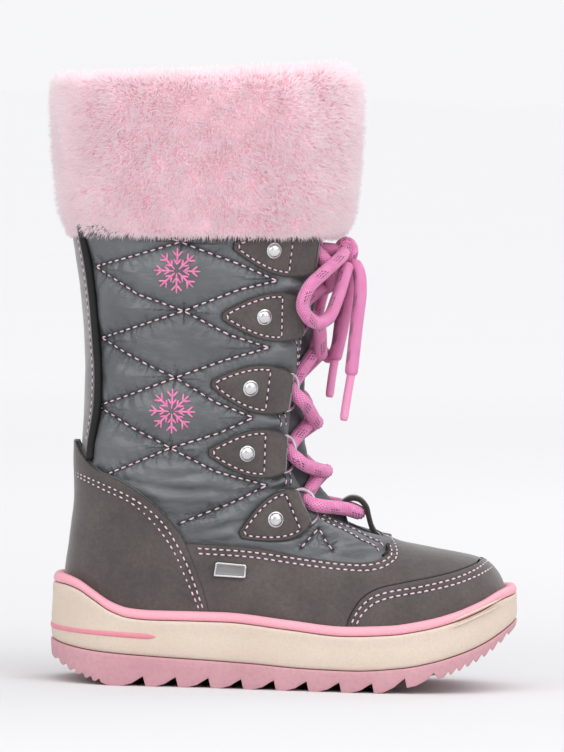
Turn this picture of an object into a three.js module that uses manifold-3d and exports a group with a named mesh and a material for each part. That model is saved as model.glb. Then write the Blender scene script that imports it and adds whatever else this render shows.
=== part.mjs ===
// A child's tall lace-up snow boot for the right foot, in millimetres.
// +X points to the toe, +Y to the inner side of the foot and +Z up. The origin is on the ground,
// under the middle of the boot. The boot stands empty on its sole.
import * as THREE from "three";
import { mergeVertices } from "three/addons/utils/BufferGeometryUtils.js";
import Module from "manifold-3d";

const wasm = await Module();
wasm.setup();

// Driving dimensions
const gap = 0.3; // between pieces that touch
const shaftWall = 3; // nylon, padding and lining together
const counterSkin = 2.1;
const vampSkin = 1.6;
const toeCapSkin = 2.4;
const backstaySkin = 1.2;
const tabSkin = 1.5;
const cupOffset = 3.1; // from the shaft's surface to the inside of the sole's cup
const insoleThickness = 3.5;
const randHeight = 4.2;
const toothDepth = 4.6;
const toothPitch = 15.2;
const fineToothDepth = 1.9;
const fineToothPitch = 3.9;
const laceRadius = 2.7;
const ringWireRadius = 0.9;
const ringInset = 1.6; // of the ring's bar behind the tab's front edge
const ringTipRise = 4.4; // of the ring's free end above the shaft's surface
const crossingRise = 4.15;
const flapLean = 3.2; // of the heel counter's flap, away from the shaft
const flapHalf = 0.75; // half its width, as an angle round the shaft
const tongueClearance = 1.1;
const tongueSwell = 4.6;
const keeperHalf = 7;
const keeperSeat = 1.2;
const frontFullness = 0.32; // of the fur, deeper in front than behind
const ringHeight = 17;
const ringReach = 11;
const rivetRadius = 3.5;
const tongueThickness = 3;
const farSide = 90; // beyond every piece, sideways
const outer = -1; // the side that faces away from the other foot is at -Y
const inner = 1;

// Colours, roughness and metalness of the materials
const finishes = {
  nylon: { color: 0x6d6f72, roughness: 0.4, metalness: 0 },
  suede: { color: 0x5f5b58, roughness: 0.85, metalness: 0 },
  darkNylon: { color: 0x4a4b4e, roughness: 0.5, metalness: 0 },
  fur: { color: 0xe9b4c6, roughness: 1, metalness: 0 },
  lace: { color: 0xe07fb4, roughness: 0.8, metalness: 0 },
  tip: { color: 0xeaa5c6, roughness: 0.4, metalness: 0 },
  steel: { color: 0xd8d8da, roughness: 0.25, metalness: 1 },
  cream: { color: 0xe4d8c8, roughness: 0.7, metalness: 0 },
  pinkRubber: { color: 0xf2a3b3, roughness: 0.65, metalness: 0 },
  lugRubber: { color: 0xe0a0b0, roughness: 0.75, metalness: 0 },
  insoleFelt: { color: 0xb9b6b4, roughness: 1, metalness: 0 },
};

// A list of rows as objects with the columns' names
function table(columns, rows) {
  return rows.map((row) => Object.fromEntries(columns.map((c, i) => [c, row[i]])));
}

// The ribs of the boot, from the collar down the shaft, round the ankle and along the foot to the
// tip of the toe. Each one is an oval that stands on a line from its front, or top, to its back, or
// bottom. half is its half width and widest its place along the line, as a share of it. A power of
// 2 is an ellipse, and more is squarer. Below the foot the ovals run on under the sole, which cuts
// them. The first and last rows only set how the ends slope.
const ribColumns = [
  "frontX", "frontZ", "backX", "backZ", "midY", "half", "widest", "frontPower", "backPower",
];
const ribs = table(ribColumns, [
  [23.5, 314, -108.5, 312, 0, 43.5, 0.5, 2.1, 2.1],
  [22, 280, -106.5, 279, 0, 43, 0.5, 2.1, 2.1], // collar
  [20.5, 247, -104, 244, 0, 42.5, 0.5, 2.1, 2.1],
  [18, 213.5, -99.5, 211, 0, 41.5, 0.5, 2.1, 2.1], // lower edge of the cuff
  [14.5, 186, -95, 185, 0, 40, 0.5, 2.1, 2.1],
  [11, 158, -92, 157, 0, 38, 0.5, 2.1, 2.1],
  [9.5, 136, -91.5, 133, 0, 36.5, 0.51, 2.1, 2.1],
  [10, 117, -92, 111, 0, 35, 0.53, 2.1, 2.1], // ankle
  [12.5, 104, -93.5, 88, 0, 33.8, 0.58, 2.15, 2.2],
  [17, 94.5, -95.8, 66, 0, 32.4, 0.64, 2.2, 2.3],
  [23.4, 87, -97, 42, 0, 31.2, 0.69, 2.25, 2.4], // heel
  [31, 80.8, -88, 8, 0, 30.6, 0.64, 2.25, 2.4],
  [40, 74, -42, -10, 0.2, 32.5, 0.54, 2.2, 2.3], // waist
  [51, 68.5, 2, -11, 0.8, 36.5, 0.48, 2.2, 2.3],
  [62.5, 65.2, 34, -11, 1.8, 39.6, 0.45, 2.3, 2.3], // ball
  [80.5, 62.2, 66, -8, 3.2, 37.4, 0.45, 2.4, 2.3],
  [93.5, 59.4, 88, -2, 4.4, 29.6, 0.45, 2.5, 2.3],
  [101.3, 53, 100, 10, 5.2, 17, 0.45, 2.4, 2.3],
  [104.2, 44, 104.4, 28, 5.6, 0, 0.45, 2.3, 2.3], // tip of the toe
  [101.3, 35, 100, 46, 5.2, -17, 0.45, 2.3, 2.3],
]);
const toeTip = ribs.length - 3; // the tip's rib, counted from the collar's
const ribSpacing = 33; // between the ribs at the collar

// Rows and columns of the mesh that the shaft and its overlays share, and the rows of its inside
const ribSteps = [
  0, 1, 2, 3, 4, 5, 6, 7, 7.8, 8.5, 9.1, 9.7,
  10.3, 11, 11.7, 12.4, 13.1, 13.8, 14.5, 15.1, 15.6, 16.1, 16.5, 16.9,
];
const insideSteps = [-0.15, 1, 2, 3, 4, 5, 6, 7, 8, 9, 10, 11, 12, 13.1, 14.3, 15.3, 16.2, 16.9];
const columnsRound = 24;

// The sole's height along the boot, as points of x and z
const footbed = [
  [-106, 30], [-60, 29.5], [-20, 27], [12, 22.5], [38, 20.5], [60, 23], [85, 30], [106, 37.5],
];
const randTop = [
  [-108, 50.2], [-100, 50], [-94, 48.6], [-86, 44], [-78, 39],
  [-69, 36], [-58, 35.2], [-25, 35.2], [5, 32.6],
  [30, 30.4], [52, 31.4], [68, 34], [82, 37.8], [95, 43], [104, 47.6], [114, 50.4],
];
const outsoleTop = [
  [-109, 20], [-98, 17.4], [-83, 15.4], [-50, 13.4], [-12, 11.8], [12, 10.3], [35, 9.9], [58, 11.6],
  [73, 14.6], [87, 19], [97, 23.4], [105, 28.2], [114, 34.5],
];
const treadLine = [
  [-110, 16], [-104, 10.6], [-98, 7], [-90, 3.6], [-83, 1.4],
  [-77, 0], [-60, 0], [-20, 0], [45, 0], [56, 1.8],
  [76, 7.2], [89, 12.8], [98, 18], [107, 25.4], [115, 33],
];

// The sole's outline from above: half width and middle along the boot, and its round ends
const soleHalf = [
  [-106, 37], [-70, 37.2], [-40, 36.8], [-10, 39.6], [20, 43],
  [42, 45.2], [62, 45.2], [80, 44], [113, 42],
];
const soleMiddle = [[-106, 0], [-30, 0], [10, 0.6], [45, 1.8], [80, 4], [113, 6]];
const sole = { heel: -105.2, toe: 112, heelLength: 34, toeLength: 48, heelPower: 2.2, toePower: 2.25 };

// The tabs that carry the lace rings, from the top: the rivet's place seen from the side, the tilt
// of the tab's axis in degrees, and how far it reaches forward to its ring and back to its point
const tabColumns = ["x", "z", "tilt", "reach", "tail"];
const tabs = table(tabColumns, [
  [-5.9, 204, -5.5, 19.5, 19],
  [-9.6, 173, 0, 17.6, 19.8],
  [-15.1, 139.7, -6, 18.4, 18.6],
  [-15.9, 109.2, -0.5, 18, 18.2],
  [-1.9, 78.5, 25, 14.6, 18.2],
]);
const tabHalf = 11.4; // half height where a tab is widest
const tabFrontHalf = 8.2; // half height at its ring

// The throat's half width at each rib, and the tongue's
const throatTop = 1.75;
const throatSteps = [throatTop, 2.5, 3, 4, 5, 6, 7, 8, 9, 10, 11, 11.7, 12.15];
const throatHalf = [
  [1.75, 13], [3, 15], [4, 15.2], [5, 17], [6, 18.5], [7, 18],
  [8, 16], [9, 14.5], [10, 12], [11, 8], [11.7, 4.5], [12.15, 1.5],
];
const tongueSteps = [1.2, 2, 3, 4, 5, 6, 7, 8, 9, 10, 11, 11.6];
const tongueMargin = 5; // under each edge of the throat

// A smooth curve through points with rising x. It never swings beyond them.
function curveAt(points, x) {
  const last = points.length - 1;
  let i = points.findIndex((p) => p[0] > x) - 1;
  if (x <= points[0][0]) i = 0;
  if (x >= points[last][0]) i = last - 1;
  const secant = (k) => (points[k + 1][1] - points[k][1]) / (points[k + 1][0] - points[k][0]);
  const slope = (k) => {
    const [before, after] = [secant(Math.max(k - 1, 0)), secant(Math.min(k, last - 1))];
    return before * after > 0 ? (2 * before * after) / (before + after) : 0;
  };
  const [x0, y0] = points[i];
  const [x1, y1] = points[i + 1];
  const h = x1 - x0;
  const t = THREE.MathUtils.clamp((x - x0) / h, 0, 1);
  const [t2, t3] = [t * t, t * t * t];
  const before = (2 * t3 - 3 * t2 + 1) * y0 + (t3 - 2 * t2 + t) * h * slope(i);
  const after = (3 * t2 - 2 * t3) * y1 + (t3 - t2) * h * slope(i + 1);
  return before + after;
}

// The rib at v, counted from the collar, by a smooth curve through each column of the table
function ribAt(v) {
  const i = THREE.MathUtils.clamp(Math.floor(v), 0, ribs.length - 4);
  const t = v - i;
  const [a, b, c, d] = ribs.slice(i, i + 4);
  const mix = (k) => {
    const bend = 2 * a[k] - 5 * b[k] + 4 * c[k] - d[k];
    const twist = 3 * (b[k] - c[k]) + d[k] - a[k];
    return b[k] + 0.5 * t * (c[k] - a[k] + t * (bend + t * twist));
  };
  return Object.fromEntries(ribColumns.map((k) => [k, mix(k)]));
}

// A point of the shaft's surface. turn goes from 0 at the front over the outer side to 180 degrees
// at the back, and on over the inner side.
function surfacePoint(v, turn) {
  const rib = ribAt(v);
  const [c, s] = [Math.cos(turn), Math.sin(turn)];
  const power = 2 / (c >= 0 ? rib.frontPower : rib.backPower);
  const along = Math.sign(c) * Math.abs(c) ** power;
  const t = rib.widest - along * (c >= 0 ? rib.widest : 1 - rib.widest);
  return new THREE.Vector3(
    THREE.MathUtils.lerp(rib.frontX, rib.backX, t),
    rib.midY + outer * rib.half * Math.sign(s) * Math.abs(s) ** power,
    THREE.MathUtils.lerp(rib.frontZ, rib.backZ, t),
  );
}

// The surface's outward direction, from small steps along and across it
function surfaceNormal(v, turn) {
  const step = 0.03;
  const across = surfacePoint(v, turn + step).sub(surfacePoint(v, turn - step));
  const down = surfacePoint(v + step, turn).sub(surfacePoint(v - step, turn));
  return across.cross(down).normalize();
}

// A point at a distance outside the surface
function offsetPoint(v, turn, distance) {
  return surfacePoint(v, turn).addScaledVector(surfaceNormal(v, turn), distance);
}

// The angle at which rib v is a given distance to one side of its middle, in front
function turnAt(v, sideways) {
  const rib = ribAt(v);
  const share = Math.min(1, Math.abs(sideways) / rib.half);
  return -Math.sign(sideways) * Math.asin(share ** (rib.frontPower / 2));
}

// The rib and angle whose point lies at x and z in the side view, on one side
function seenFromSide(x, z, side, distance = 0) {
  let target = { x, z };
  let found = {};
  for (let round = 0; round < 3; round++) {
    let [low, high] = [0, toeTip];
    for (let i = 0; i < 40; i++) {
      const v = (low + high) / 2;
      const r = ribAt(v);
      const [lineX, lineZ] = [r.backX - r.frontX, r.backZ - r.frontZ];
      const above = lineX * (target.z - r.frontZ) - lineZ * (target.x - r.frontX);
      if (above < 0) high = v;
      else low = v;
    }
    const r = ribAt(low);
    const [dx, dz] = [r.backX - r.frontX, r.backZ - r.frontZ];
    const t = ((target.x - r.frontX) * dx + (target.z - r.frontZ) * dz) / (dx * dx + dz * dz);
    const along = t < r.widest ? 1 - t / r.widest : -(t - r.widest) / (1 - r.widest);
    const power = t < r.widest ? r.frontPower : r.backPower;
    const c = Math.sign(along) * Math.min(1, Math.abs(along)) ** (power / 2);
    found = { v: low, turn: -side * Math.acos(c) };
    const n = surfaceNormal(found.v, found.turn);
    target = { x: x - n.x * distance, z: z - n.z * distance };
  }
  return found;
}

// A closed mesh through rings of equally many points. Rings run like turn, and follow each other
// like v. With loop the last ring joins the first one, and otherwise the ends are closed.
function skin(rings, loop = false) {
  const n = rings[0].length;
  const faces = [];
  const lastRing = loop ? rings.length : rings.length - 1;
  const at = (i, j) => (i % rings.length) * n + (j % n);
  for (let i = 0; i < lastRing; i++)
    for (let j = 0; j < n; j++) {
      faces.push(at(i, j), at(i, j + 1), at(i + 1, j + 1));
      faces.push(at(i, j), at(i + 1, j + 1), at(i + 1, j));
    }
  const close = (ring, flip) => {
    for (let low = 0, high = n - 1; low + 1 < high; low++, high--) {
      const first = [ring + low, ring + low + 1, ring + high];
      const second = [ring + low + 1, ring + high - 1, ring + high];
      for (const face of low + 2 < high ? [first, second] : [first])
        faces.push(...(flip ? face.reverse() : face));
    }
  };
  if (!loop) {
    close(0, true);
    close((rings.length - 1) * n, false);
  }
  const geometry = new THREE.BufferGeometry();
  const numbers = rings.flat().flatMap((p) => [p.x, p.y, p.z]);
  geometry.setAttribute("position", new THREE.Float32BufferAttribute(numbers, 3));
  geometry.setIndex(faces);
  return geometry;
}

// A closed geometry as a solid that can be cut and joined
function solidFrom(geometry) {
  const bare = geometry.clone();
  bare.deleteAttribute("normal");
  bare.deleteAttribute("uv");
  const merged = mergeVertices(bare, 1e-4);
  const vertProperties = new Float32Array(merged.attributes.position.array);
  const triVerts = new Uint32Array(merged.index.array);
  return new wasm.Manifold(new wasm.Mesh({ numProp: 3, vertProperties, triVerts }));
}

// A solid as a named mesh with its material
function piece(name, solid, finish) {
  const mesh = solid.getMesh();
  const geometry = new THREE.BufferGeometry();
  geometry.setAttribute("position", new THREE.BufferAttribute(mesh.vertProperties, 3));
  geometry.setIndex(new THREE.BufferAttribute(mesh.triVerts, 1));
  geometry.computeVertexNormals();
  const made = new THREE.Mesh(geometry, new THREE.MeshStandardMaterial(finishes[finish]));
  made.name = name;
  return made;
}

// The filled form of the shaft and foot at a distance outside their surface, which may follow the
// place on it
function lastSolid(distance, steps = ribSteps) {
  const turns = Array.from({ length: columnsRound }, (_, j) => (2 * Math.PI * j) / columnsRound);
  const away = distance instanceof Function ? distance : () => distance;
  return solidFrom(skin(steps.map((v) => turns.map((turn) => offsetPoint(v, turn, away(v, turn))))));
}

// A shape of the side view, extruded sideways
function sidePrism(shape, yFrom = -farSide, yTo = farSide, curveSegments = 5) {
  const isList = Array.isArray(shape);
  const outline = isList ? new THREE.Shape(shape.map((p) => new THREE.Vector2(...p))) : shape;
  const settings = { depth: yTo - yFrom, bevelEnabled: false, curveSegments };
  const geometry = new THREE.ExtrudeGeometry(outline, settings);
  geometry.rotateX(Math.PI / 2);
  geometry.translate(0, yTo, 0);
  return solidFrom(geometry);
}

// Everything below, or above, a curve of the side view moved up by a distance
const [backEnd, frontEnd, deep, high] = [-125, 130, -60, 330];
function curveSamples(points, rise) {
  const xs = [backEnd, ...Array.from({ length: 19 }, (_, i) => -108 + 12 * i), frontEnd];
  return xs.map((x) => [x, curveAt(points, x) + rise]);
}
const below = (points, rise = 0) =>
  sidePrism([...curveSamples(points, rise), [frontEnd, deep], [backEnd, deep]]);
const above = (points, rise = 0) =>
  sidePrism([...curveSamples(points, rise), [frontEnd, high], [backEnd, high]]);

// The sole's outline moved outwards by a distance, as stations of x and the two sides' y
function soleStations(distance) {
  const heel = sole.heel - distance;
  const toe = sole.toe + distance;
  const stations = [];
  const heelSteps = 6;
  const middleSteps = 6;
  const toeSteps = 8;
  for (let i = 0; i < heelSteps; i++)
    stations.push(heel + sole.heelLength * (1 - Math.cos((Math.PI / 2) * (i / heelSteps))));
  for (let i = 0; i < middleSteps; i++)
    stations.push(THREE.MathUtils.lerp(heel + sole.heelLength, toe - sole.toeLength, i / middleSteps));
  for (let i = 0; i <= toeSteps; i++)
    stations.push(toe - sole.toeLength * (1 - Math.sin((Math.PI / 2) * (i / toeSteps))));
  return stations.map((x) => {
    const toHeel = Math.max(0, 1 - (x - heel) / sole.heelLength);
    const toToe = Math.max(0, 1 - (toe - x) / sole.toeLength);
    const heelRound = Math.max(0, 1 - toHeel ** sole.heelPower) ** (1 / sole.heelPower);
    const toeRound = Math.max(0, 1 - toToe ** sole.toePower) ** (1 / sole.toePower);
    const half = (curveAt(soleHalf, x) + distance) * heelRound * toeRound;
    const middle = curveAt(soleMiddle, x);
    return { x, outerY: middle - half, innerY: middle + half };
  });
}

// A solid with the sole's outline between two curves. levels are rows of a share of the height and
// the distance outside the outline.
function soleSolid(bottom, top, levels) {
  const rings = levels.map(([share, distance]) => {
    const stations = soleStations(distance);
    const height = (x) => THREE.MathUtils.lerp(bottom(x), top(x), share);
    const outerSide = stations.map((s) => new THREE.Vector3(s.x, s.outerY, height(s.x)));
    const innerSide = stations.slice(1, -1).map((s) => new THREE.Vector3(s.x, s.innerY, height(s.x)));
    return [...outerSide.reverse(), ...innerSide];
  });
  return solidFrom(skin(rings.reverse()));
}

// A strip up the front of the boot, between two distances from the surface that follow the place
// across it, which runs from -1 to 1
function frontStrip(steps, columns, halfWidth, insideAt, outsideAt) {
  const rings = [];
  for (const v of steps) {
    const half = halfWidth(v);
    const across = Array.from({ length: columns + 1 }, (_, j) => 1 - (2 * j) / columns);
    const outside = across.map((a) => offsetPoint(v, turnAt(v, a * half), outsideAt(v, a, half)));
    const inside = across.map((a) => offsetPoint(v, turnAt(v, a * half), insideAt(v, a, half)));
    rings.push([...outside, ...inside.reverse()]);
  }
  return solidFrom(skin(rings));
}

// A round cord along a smooth curve through points
function cord(points, radius, sides, steps) {
  const through = points.map((p) => new THREE.Vector3(...p));
  const path = new THREE.CatmullRomCurve3(through, false, "centripetal");
  const section = new THREE.Shape();
  for (let i = 0; i < sides; i++) {
    const angle = (2 * Math.PI * i) / sides;
    section[i ? "lineTo" : "moveTo"](radius * Math.cos(angle), radius * Math.sin(angle));
  }
  const settings = { steps, bevelEnabled: false, extrudePath: path };
  return solidFrom(new THREE.ExtrudeGeometry(section, settings));
}

// The forms that the pieces are cut from
const shaftForm = lastSolid(0);
const seatForm = lastSolid(gap); // where every overlay starts
const cupForm = lastSolid(cupOffset);

function overlay(thickness, region) {
  return lastSolid(gap + thickness).subtract(seatForm).intersect(region);
}

// The edges of the overlays, seen from the side
const counterEdge = [
  [-125, 112], [-94.2, 111.8], [-92.2, 105], [-89, 100.6], [-84, 98.4],
  [-77, 96], [-68, 91.4], [-60, 85.6], [-52, 78.6],
  [-45.5, 70.8], [-40.8, 61.5], [-36.5, 51], [-33.2, 42], [-31, 33], [-30, 20],
];
const counterCorner = 10; // the row where the vamp starts
const vampEdge = [
  [-43, 67], [-22, 66.2], [-4, 64.4], [12, 61.8], [28, 60],
  [40, 60], [47, 61.6], [51.4, 64.6], [50.6, 67], [43.5, 75.5],
];
const toeCapEdge = [
  [31.5, 20], [32.5, 31], [35.2, 38], [39.4, 43.8], [46, 48],
  [58, 51], [73, 54], [86, 57.4], [94, 60.6], [97, 63.4],
];
const pipingEdge = [
  [-98.4, 216], [-94, 196.9], [-91.2, 180], [-89, 159.4],
  [-87.6, 144], [-87.8, 128], [-89.2, 117.6], [-90, 113.8],
];
const shiftX = (points, dx) => points.map(([x, z]) => [x + dx, z]);

function makeUpper() {
  const throat = frontStrip(throatSteps, 6, (v) => curveAt(throatHalf, v), () => -8, () => 6);
  const cavity = lastSolid(-shaftWall, insideSteps);
  return shaftForm.subtract(cavity).subtract(throat).subtract(below(footbed, gap));
}

function makeTongue() {
  // Its margins lie under the throat's edges, and its middle swells out between them.
  const half = (v) => curveAt(throatHalf, Math.max(v, throatTop)) + tongueMargin;
  const sunk = -(shaftWall + tongueClearance);
  const outside = (v, a, h) => {
    const open = Math.max(1, h - tongueMargin - 1.5);
    const fromTop = THREE.MathUtils.smoothstep(v, throatTop, throatTop + 0.8);
    const ends = fromTop * (1 - THREE.MathUtils.smoothstep(v, 9.6, 10.8));
    const middle = 1 - THREE.MathUtils.smoothstep(Math.abs(a * h), 0.2 * open, open);
    return sunk + tongueSwell * ends * middle;
  };
  return frontStrip(tongueSteps, 8, half, (v, a, h) => outside(v, a, h) - tongueThickness, outside);
}

function makeInsole() {
  const band = above(footbed, 2 * gap).intersect(below(footbed, 2 * gap + insoleThickness));
  return lastSolid(-shaftWall - 2 * gap, insideSteps).intersect(band);
}

function makeHeelCounter() {
  // A flap at the top of the heel leans away from the shaft.
  const lean = (v, turn) => {
    const across = (turn - Math.PI) / flapHalf;
    return flapLean * Math.max(0, 1 - across * across) * (1 - THREE.MathUtils.smoothstep(v, 5.9, 7.4));
  };
  const outside = lastSolid((v, turn) => gap + counterSkin + lean(v, turn));
  const inside = lastSolid((v, turn) => gap + lean(v, turn));
  const region = sidePrism([...counterEdge, [-30, 0], [backEnd, 0]]);
  return outside.subtract(inside).intersect(region).subtract(below(footbed, gap));
}

function makeVamp() {
  const back = shiftX(counterEdge.slice(counterCorner), gap).reverse();
  const region = [...back, ...vampEdge, [46, 110], [frontEnd, 110], [frontEnd, 0], [-29.5, 0]];
  const band = overlay(vampSkin, sidePrism(region)).subtract(below(footbed, gap));
  return band.subtract(sidePrism(toeCapRegion(-gap)));
}

function toeCapRegion(dx) {
  return [...shiftX(toeCapEdge, dx), [108, 74], [frontEnd, 60], [frontEnd, 0], [31.5 + dx, 0]];
}

function makeToeCap() {
  return overlay(toeCapSkin, sidePrism(toeCapRegion(0))).subtract(below(footbed, gap));
}

// The zone of the fur cuff, which other pieces stop under
const cuffZone = sidePrism([[backEnd, 210], [frontEnd, 215.3], [frontEnd, high], [backEnd, high]]);

function makeBackstay() {
  // Its lower end stops above the counter's flap.
  const region = [...pipingEdge, [backEnd, 113.8], [backEnd, 216]];
  return overlay(backstaySkin, sidePrism(region)).subtract(cuffZone);
}

// The fur cuff's section, as rows of the rib and the distance from the shaft's surface: up the
// outside, over the collar and a little way down the inside
const cuffSection = [
  [1.98, -1], [2, 4.6], [1.84, 8.4], [1.2, 10.2], [0.5, 10.6],
  [-0.06, 8.8], [-0.3, 4], [-0.32, -3], [-0.1, -7.4],
  [0.24, -8.4], [0.36, -4.6],
];
function cuffPoint(v, turn, distance) {
  const fuller = distance > 1 ? 1 + frontFullness * Math.cos(turn) : 1;
  const point = offsetPoint(Math.max(v, 0), turn, distance * fuller);
  point.z += Math.max(0, -v) * ribSpacing;
  return point;
}

function makeCuff() {
  const columns = 18;
  const rings = [];
  for (let j = 0; j < columns; j++) {
    const turn = (2 * Math.PI * j) / columns;
    rings.push(cuffSection.map(([v, distance]) => cuffPoint(v, turn, distance)));
  }
  const roll = outwards(skin(rings, true));
  // Locks of fur stand out of the roll and hang a little.
  const lockRows = [[1.62, 7.2], [0.96, 8.4], [0.3, 7.8], [-0.26, 0]];
  const locksRound = 10;
  const locks = [];
  lockRows.forEach(([v, distance], row) => {
    for (let j = 0; j < locksRound; j++) {
      const shift = 0.5 * (row % 2) + 0.23 * Math.sin(7 * j + 3 * row);
      const turn = (2 * Math.PI * (j + shift)) / locksRound;
      const root = cuffPoint(v, turn, distance);
      const fall = new THREE.Vector3(0, 0, -0.42 + 0.25 * Math.sin(5 * j + row));
      const way = v < 0 ? new THREE.Vector3(0, 0, 1) : surfaceNormal(v, turn).add(fall).normalize();
      const lock = new THREE.ConeGeometry(10, 5.6, 4);
      lock.translate(0, 1.2, 0);
      lock.applyQuaternion(new THREE.Quaternion().setFromUnitVectors(new THREE.Vector3(0, 1, 0), way));
      lock.translate(root.x, root.y, root.z);
      locks.push(solidFrom(lock));
    }
  });
  // The shaft's wall and collar go into the roll from below.
  const inside = lastSolid(-shaftWall - gap, [-0.3, 1, 2, 3, 4]);
  const rim = lastSolid(gap, [-0.012, 1, 2, 3]).subtract(inside);
  return wasm.Manifold.union([roll, ...locks]).subtract(rim);
}

// A place in the plane of a tab, by how far it lies along the tab's axis and up from it
function onTab(tab, along, up) {
  const a = THREE.MathUtils.degToRad(tab.tilt);
  const [c, s] = [Math.cos(a), Math.sin(a)];
  return [tab.x + along * c - up * s, tab.z + along * s + up * c];
}

// One tab's outline from the side: a blunt point behind, widest past its middle, square in front
function tabShape(tab) {
  const at = (along, up) => onTab(tab, along, up);
  const shape = new THREE.Shape();
  shape.moveTo(...at(tab.reach, -tabFrontHalf));
  shape.lineTo(...at(tab.reach, tabFrontHalf));
  shape.bezierCurveTo(...at(9, tabHalf + 2), ...at(0, tabHalf + 2.5), ...at(-tab.tail, 1.6));
  shape.lineTo(...at(-tab.tail, -1.6));
  shape.bezierCurveTo(...at(0, -tabHalf - 2.5), ...at(9, -tabHalf - 2), ...at(tab.reach, -tabFrontHalf));
  return shape;
}

// The frame of a lace ring: the middle of its straight bar, the bar's direction, the way that the
// ring reaches, and the direction across the ring's plane
function ringFrame(tab, side) {
  const rise = gap + tabSkin + 3.4 * gap + ringWireRadius;
  const place = (up) => {
    const seen = seenFromSide(...onTab(tab, tab.reach - ringInset, up), side, rise);
    return { ...seen, point: offsetPoint(seen.v, seen.turn, rise) };
  };
  const middle = place(0);
  const bar = middle.point;
  const up = place(6).point.sub(place(-6).point).normalize();
  const reach = offsetPoint(middle.v, turnAt(middle.v, 4 * side), ringTipRise).sub(bar);
  reach.addScaledVector(up, -reach.dot(up)).normalize();
  return { bar, up, reach, across: new THREE.Vector3().crossVectors(up, reach) };
}

// A D-shaped wire ring. Its straight bar lies under the tab's fold.
function makeRing(tab, side) {
  const { bar, up, reach, across } = ringFrame(tab, side);
  const half = ringHeight / 2 - ringWireRadius;
  const span = ringReach - 2 * ringWireRadius;
  const corner = 1.2;
  const bowSteps = 6;
  const wireSides = 4;
  const path = [[0, corner - half], [0, half - corner]];
  for (let i = 0; i <= bowSteps; i++) {
    const angle = (Math.PI * i) / bowSteps;
    path.push([corner + (span - corner) * Math.sin(angle) ** 0.8, half * Math.cos(angle)]);
  }
  const centres = path.map(([r, h]) => bar.clone().addScaledVector(reach, r).addScaledVector(up, h));
  const rings = centres.map((centre, i) => {
    const next = centres[(i + 1) % centres.length];
    const before = centres.at(i - 1);
    const out = next.clone().sub(before).normalize().cross(across);
    return Array.from({ length: wireSides }, (_, k) => {
      const a = (2 * Math.PI * k) / wireSides;
      const [o, c] = [ringWireRadius * Math.cos(a), ringWireRadius * Math.sin(a)];
      return centre.clone().addScaledVector(out, o).addScaledVector(across, c);
    });
  });
  return outwards(skin(rings, true));
}

// A closed mesh that may have been wound either way, as a solid
function outwards(geometry) {
  const index = geometry.index.array;
  const corner = (i) => new THREE.Vector3().fromBufferAttribute(geometry.attributes.position, index[i]);
  let volume = 0;
  for (let i = 0; i < index.length; i += 3) volume += corner(i).dot(corner(i + 1).cross(corner(i + 2)));
  if (volume < 0)
    for (let i = 0; i < index.length; i += 3) [index[i], index[i + 1]] = [index[i + 1], index[i]];
  return solidFrom(geometry);
}

// A short round bar, centred on a point
function roundBar(centre, direction, half, radius, sides) {
  const bar = new THREE.CylinderGeometry(radius, radius, 2 * half, sides);
  bar.applyQuaternion(new THREE.Quaternion().setFromUnitVectors(new THREE.Vector3(0, 1, 0), direction));
  bar.translate(centre.x, centre.y, centre.z);
  return solidFrom(bar);
}

// The flat ground of all tabs
const tabLeather = lastSolid(gap + tabSkin).subtract(seatForm).subtract(cuffZone);

// A leather tab, folded over its ring's bar in front, with a tunnel for the bar
function makeTab(tab, side) {
  const shape = tabShape(tab);
  const region = side === outer ? sidePrism(shape, -farSide, 0, 3) : sidePrism(shape, 0, farSide, 3);
  const { bar, up } = ringFrame(tab, side);
  const foldRadius = ringWireRadius + gap + 1.4;
  const fold = roundBar(bar, up, ringHeight / 2 - 3.3, foldRadius, 7).subtract(seatForm);
  const tunnel = roundBar(bar, up, ringHeight / 2, ringWireRadius + gap, 6);
  return tabLeather.intersect(region).add(fold).subtract(tunnel);
}

// A domed rivet that sits on its tab
function makeRivet(tab, side) {
  const rise = 2 * gap + tabSkin;
  const seen = seenFromSide(tab.x, tab.z, side, rise);
  const profile = [[0, 0], [rivetRadius, 0], [rivetRadius - 0.9, 1.4], [0, 2]];
  const dome = new THREE.LatheGeometry(profile.map((p) => new THREE.Vector2(...p)), 8);
  const out = surfaceNormal(seen.v, seen.turn);
  dome.applyQuaternion(new THREE.Quaternion().setFromUnitVectors(new THREE.Vector3(0, 1, 0), out));
  const at = offsetPoint(seen.v, seen.turn, rise);
  dome.translate(at.x, at.y, at.z);
  return solidFrom(dome);
}

// A lace crossing between one pair of rings and the next pair below. Its four arms end just over
// the rings' bows.
function makeCrossing(upper, lower) {
  const arms = [outer, inner].map((side) => {
    const from = armEnd(upper, side, -1);
    const to = armEnd(lower, -side, 1);
    const middle = from.clone().add(to).multiplyScalar(0.5);
    const low = seenInFront(middle.z);
    const centre = offsetPoint(low, 0, crossingRise);
    return cord([from, centre, to].map((p) => p.toArray()), laceRadius, 6, 4);
  });
  return arms[0].add(arms[1]);
}

// The rib whose front lies at a height
function seenInFront(z) {
  let [low, top] = [0, toeTip];
  for (let i = 0; i < 30; i++) {
    const v = (low + top) / 2;
    if (ribAt(v).frontZ > z) low = v;
    else top = v;
  }
  return low;
}

// Where a crossing's arm ends, over the bow of a ring
function armEnd(tab, side, above) {
  const { bar, up, reach, across } = ringFrame(tab, side);
  const end = bar.clone().addScaledVector(reach, ringReach + 1.5);
  end.addScaledVector(across, 2.2 * Math.sign(across.x));
  return end.addScaledVector(up, above * Math.sign(up.z) * (laceRadius + 2 * gap));
}

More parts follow.
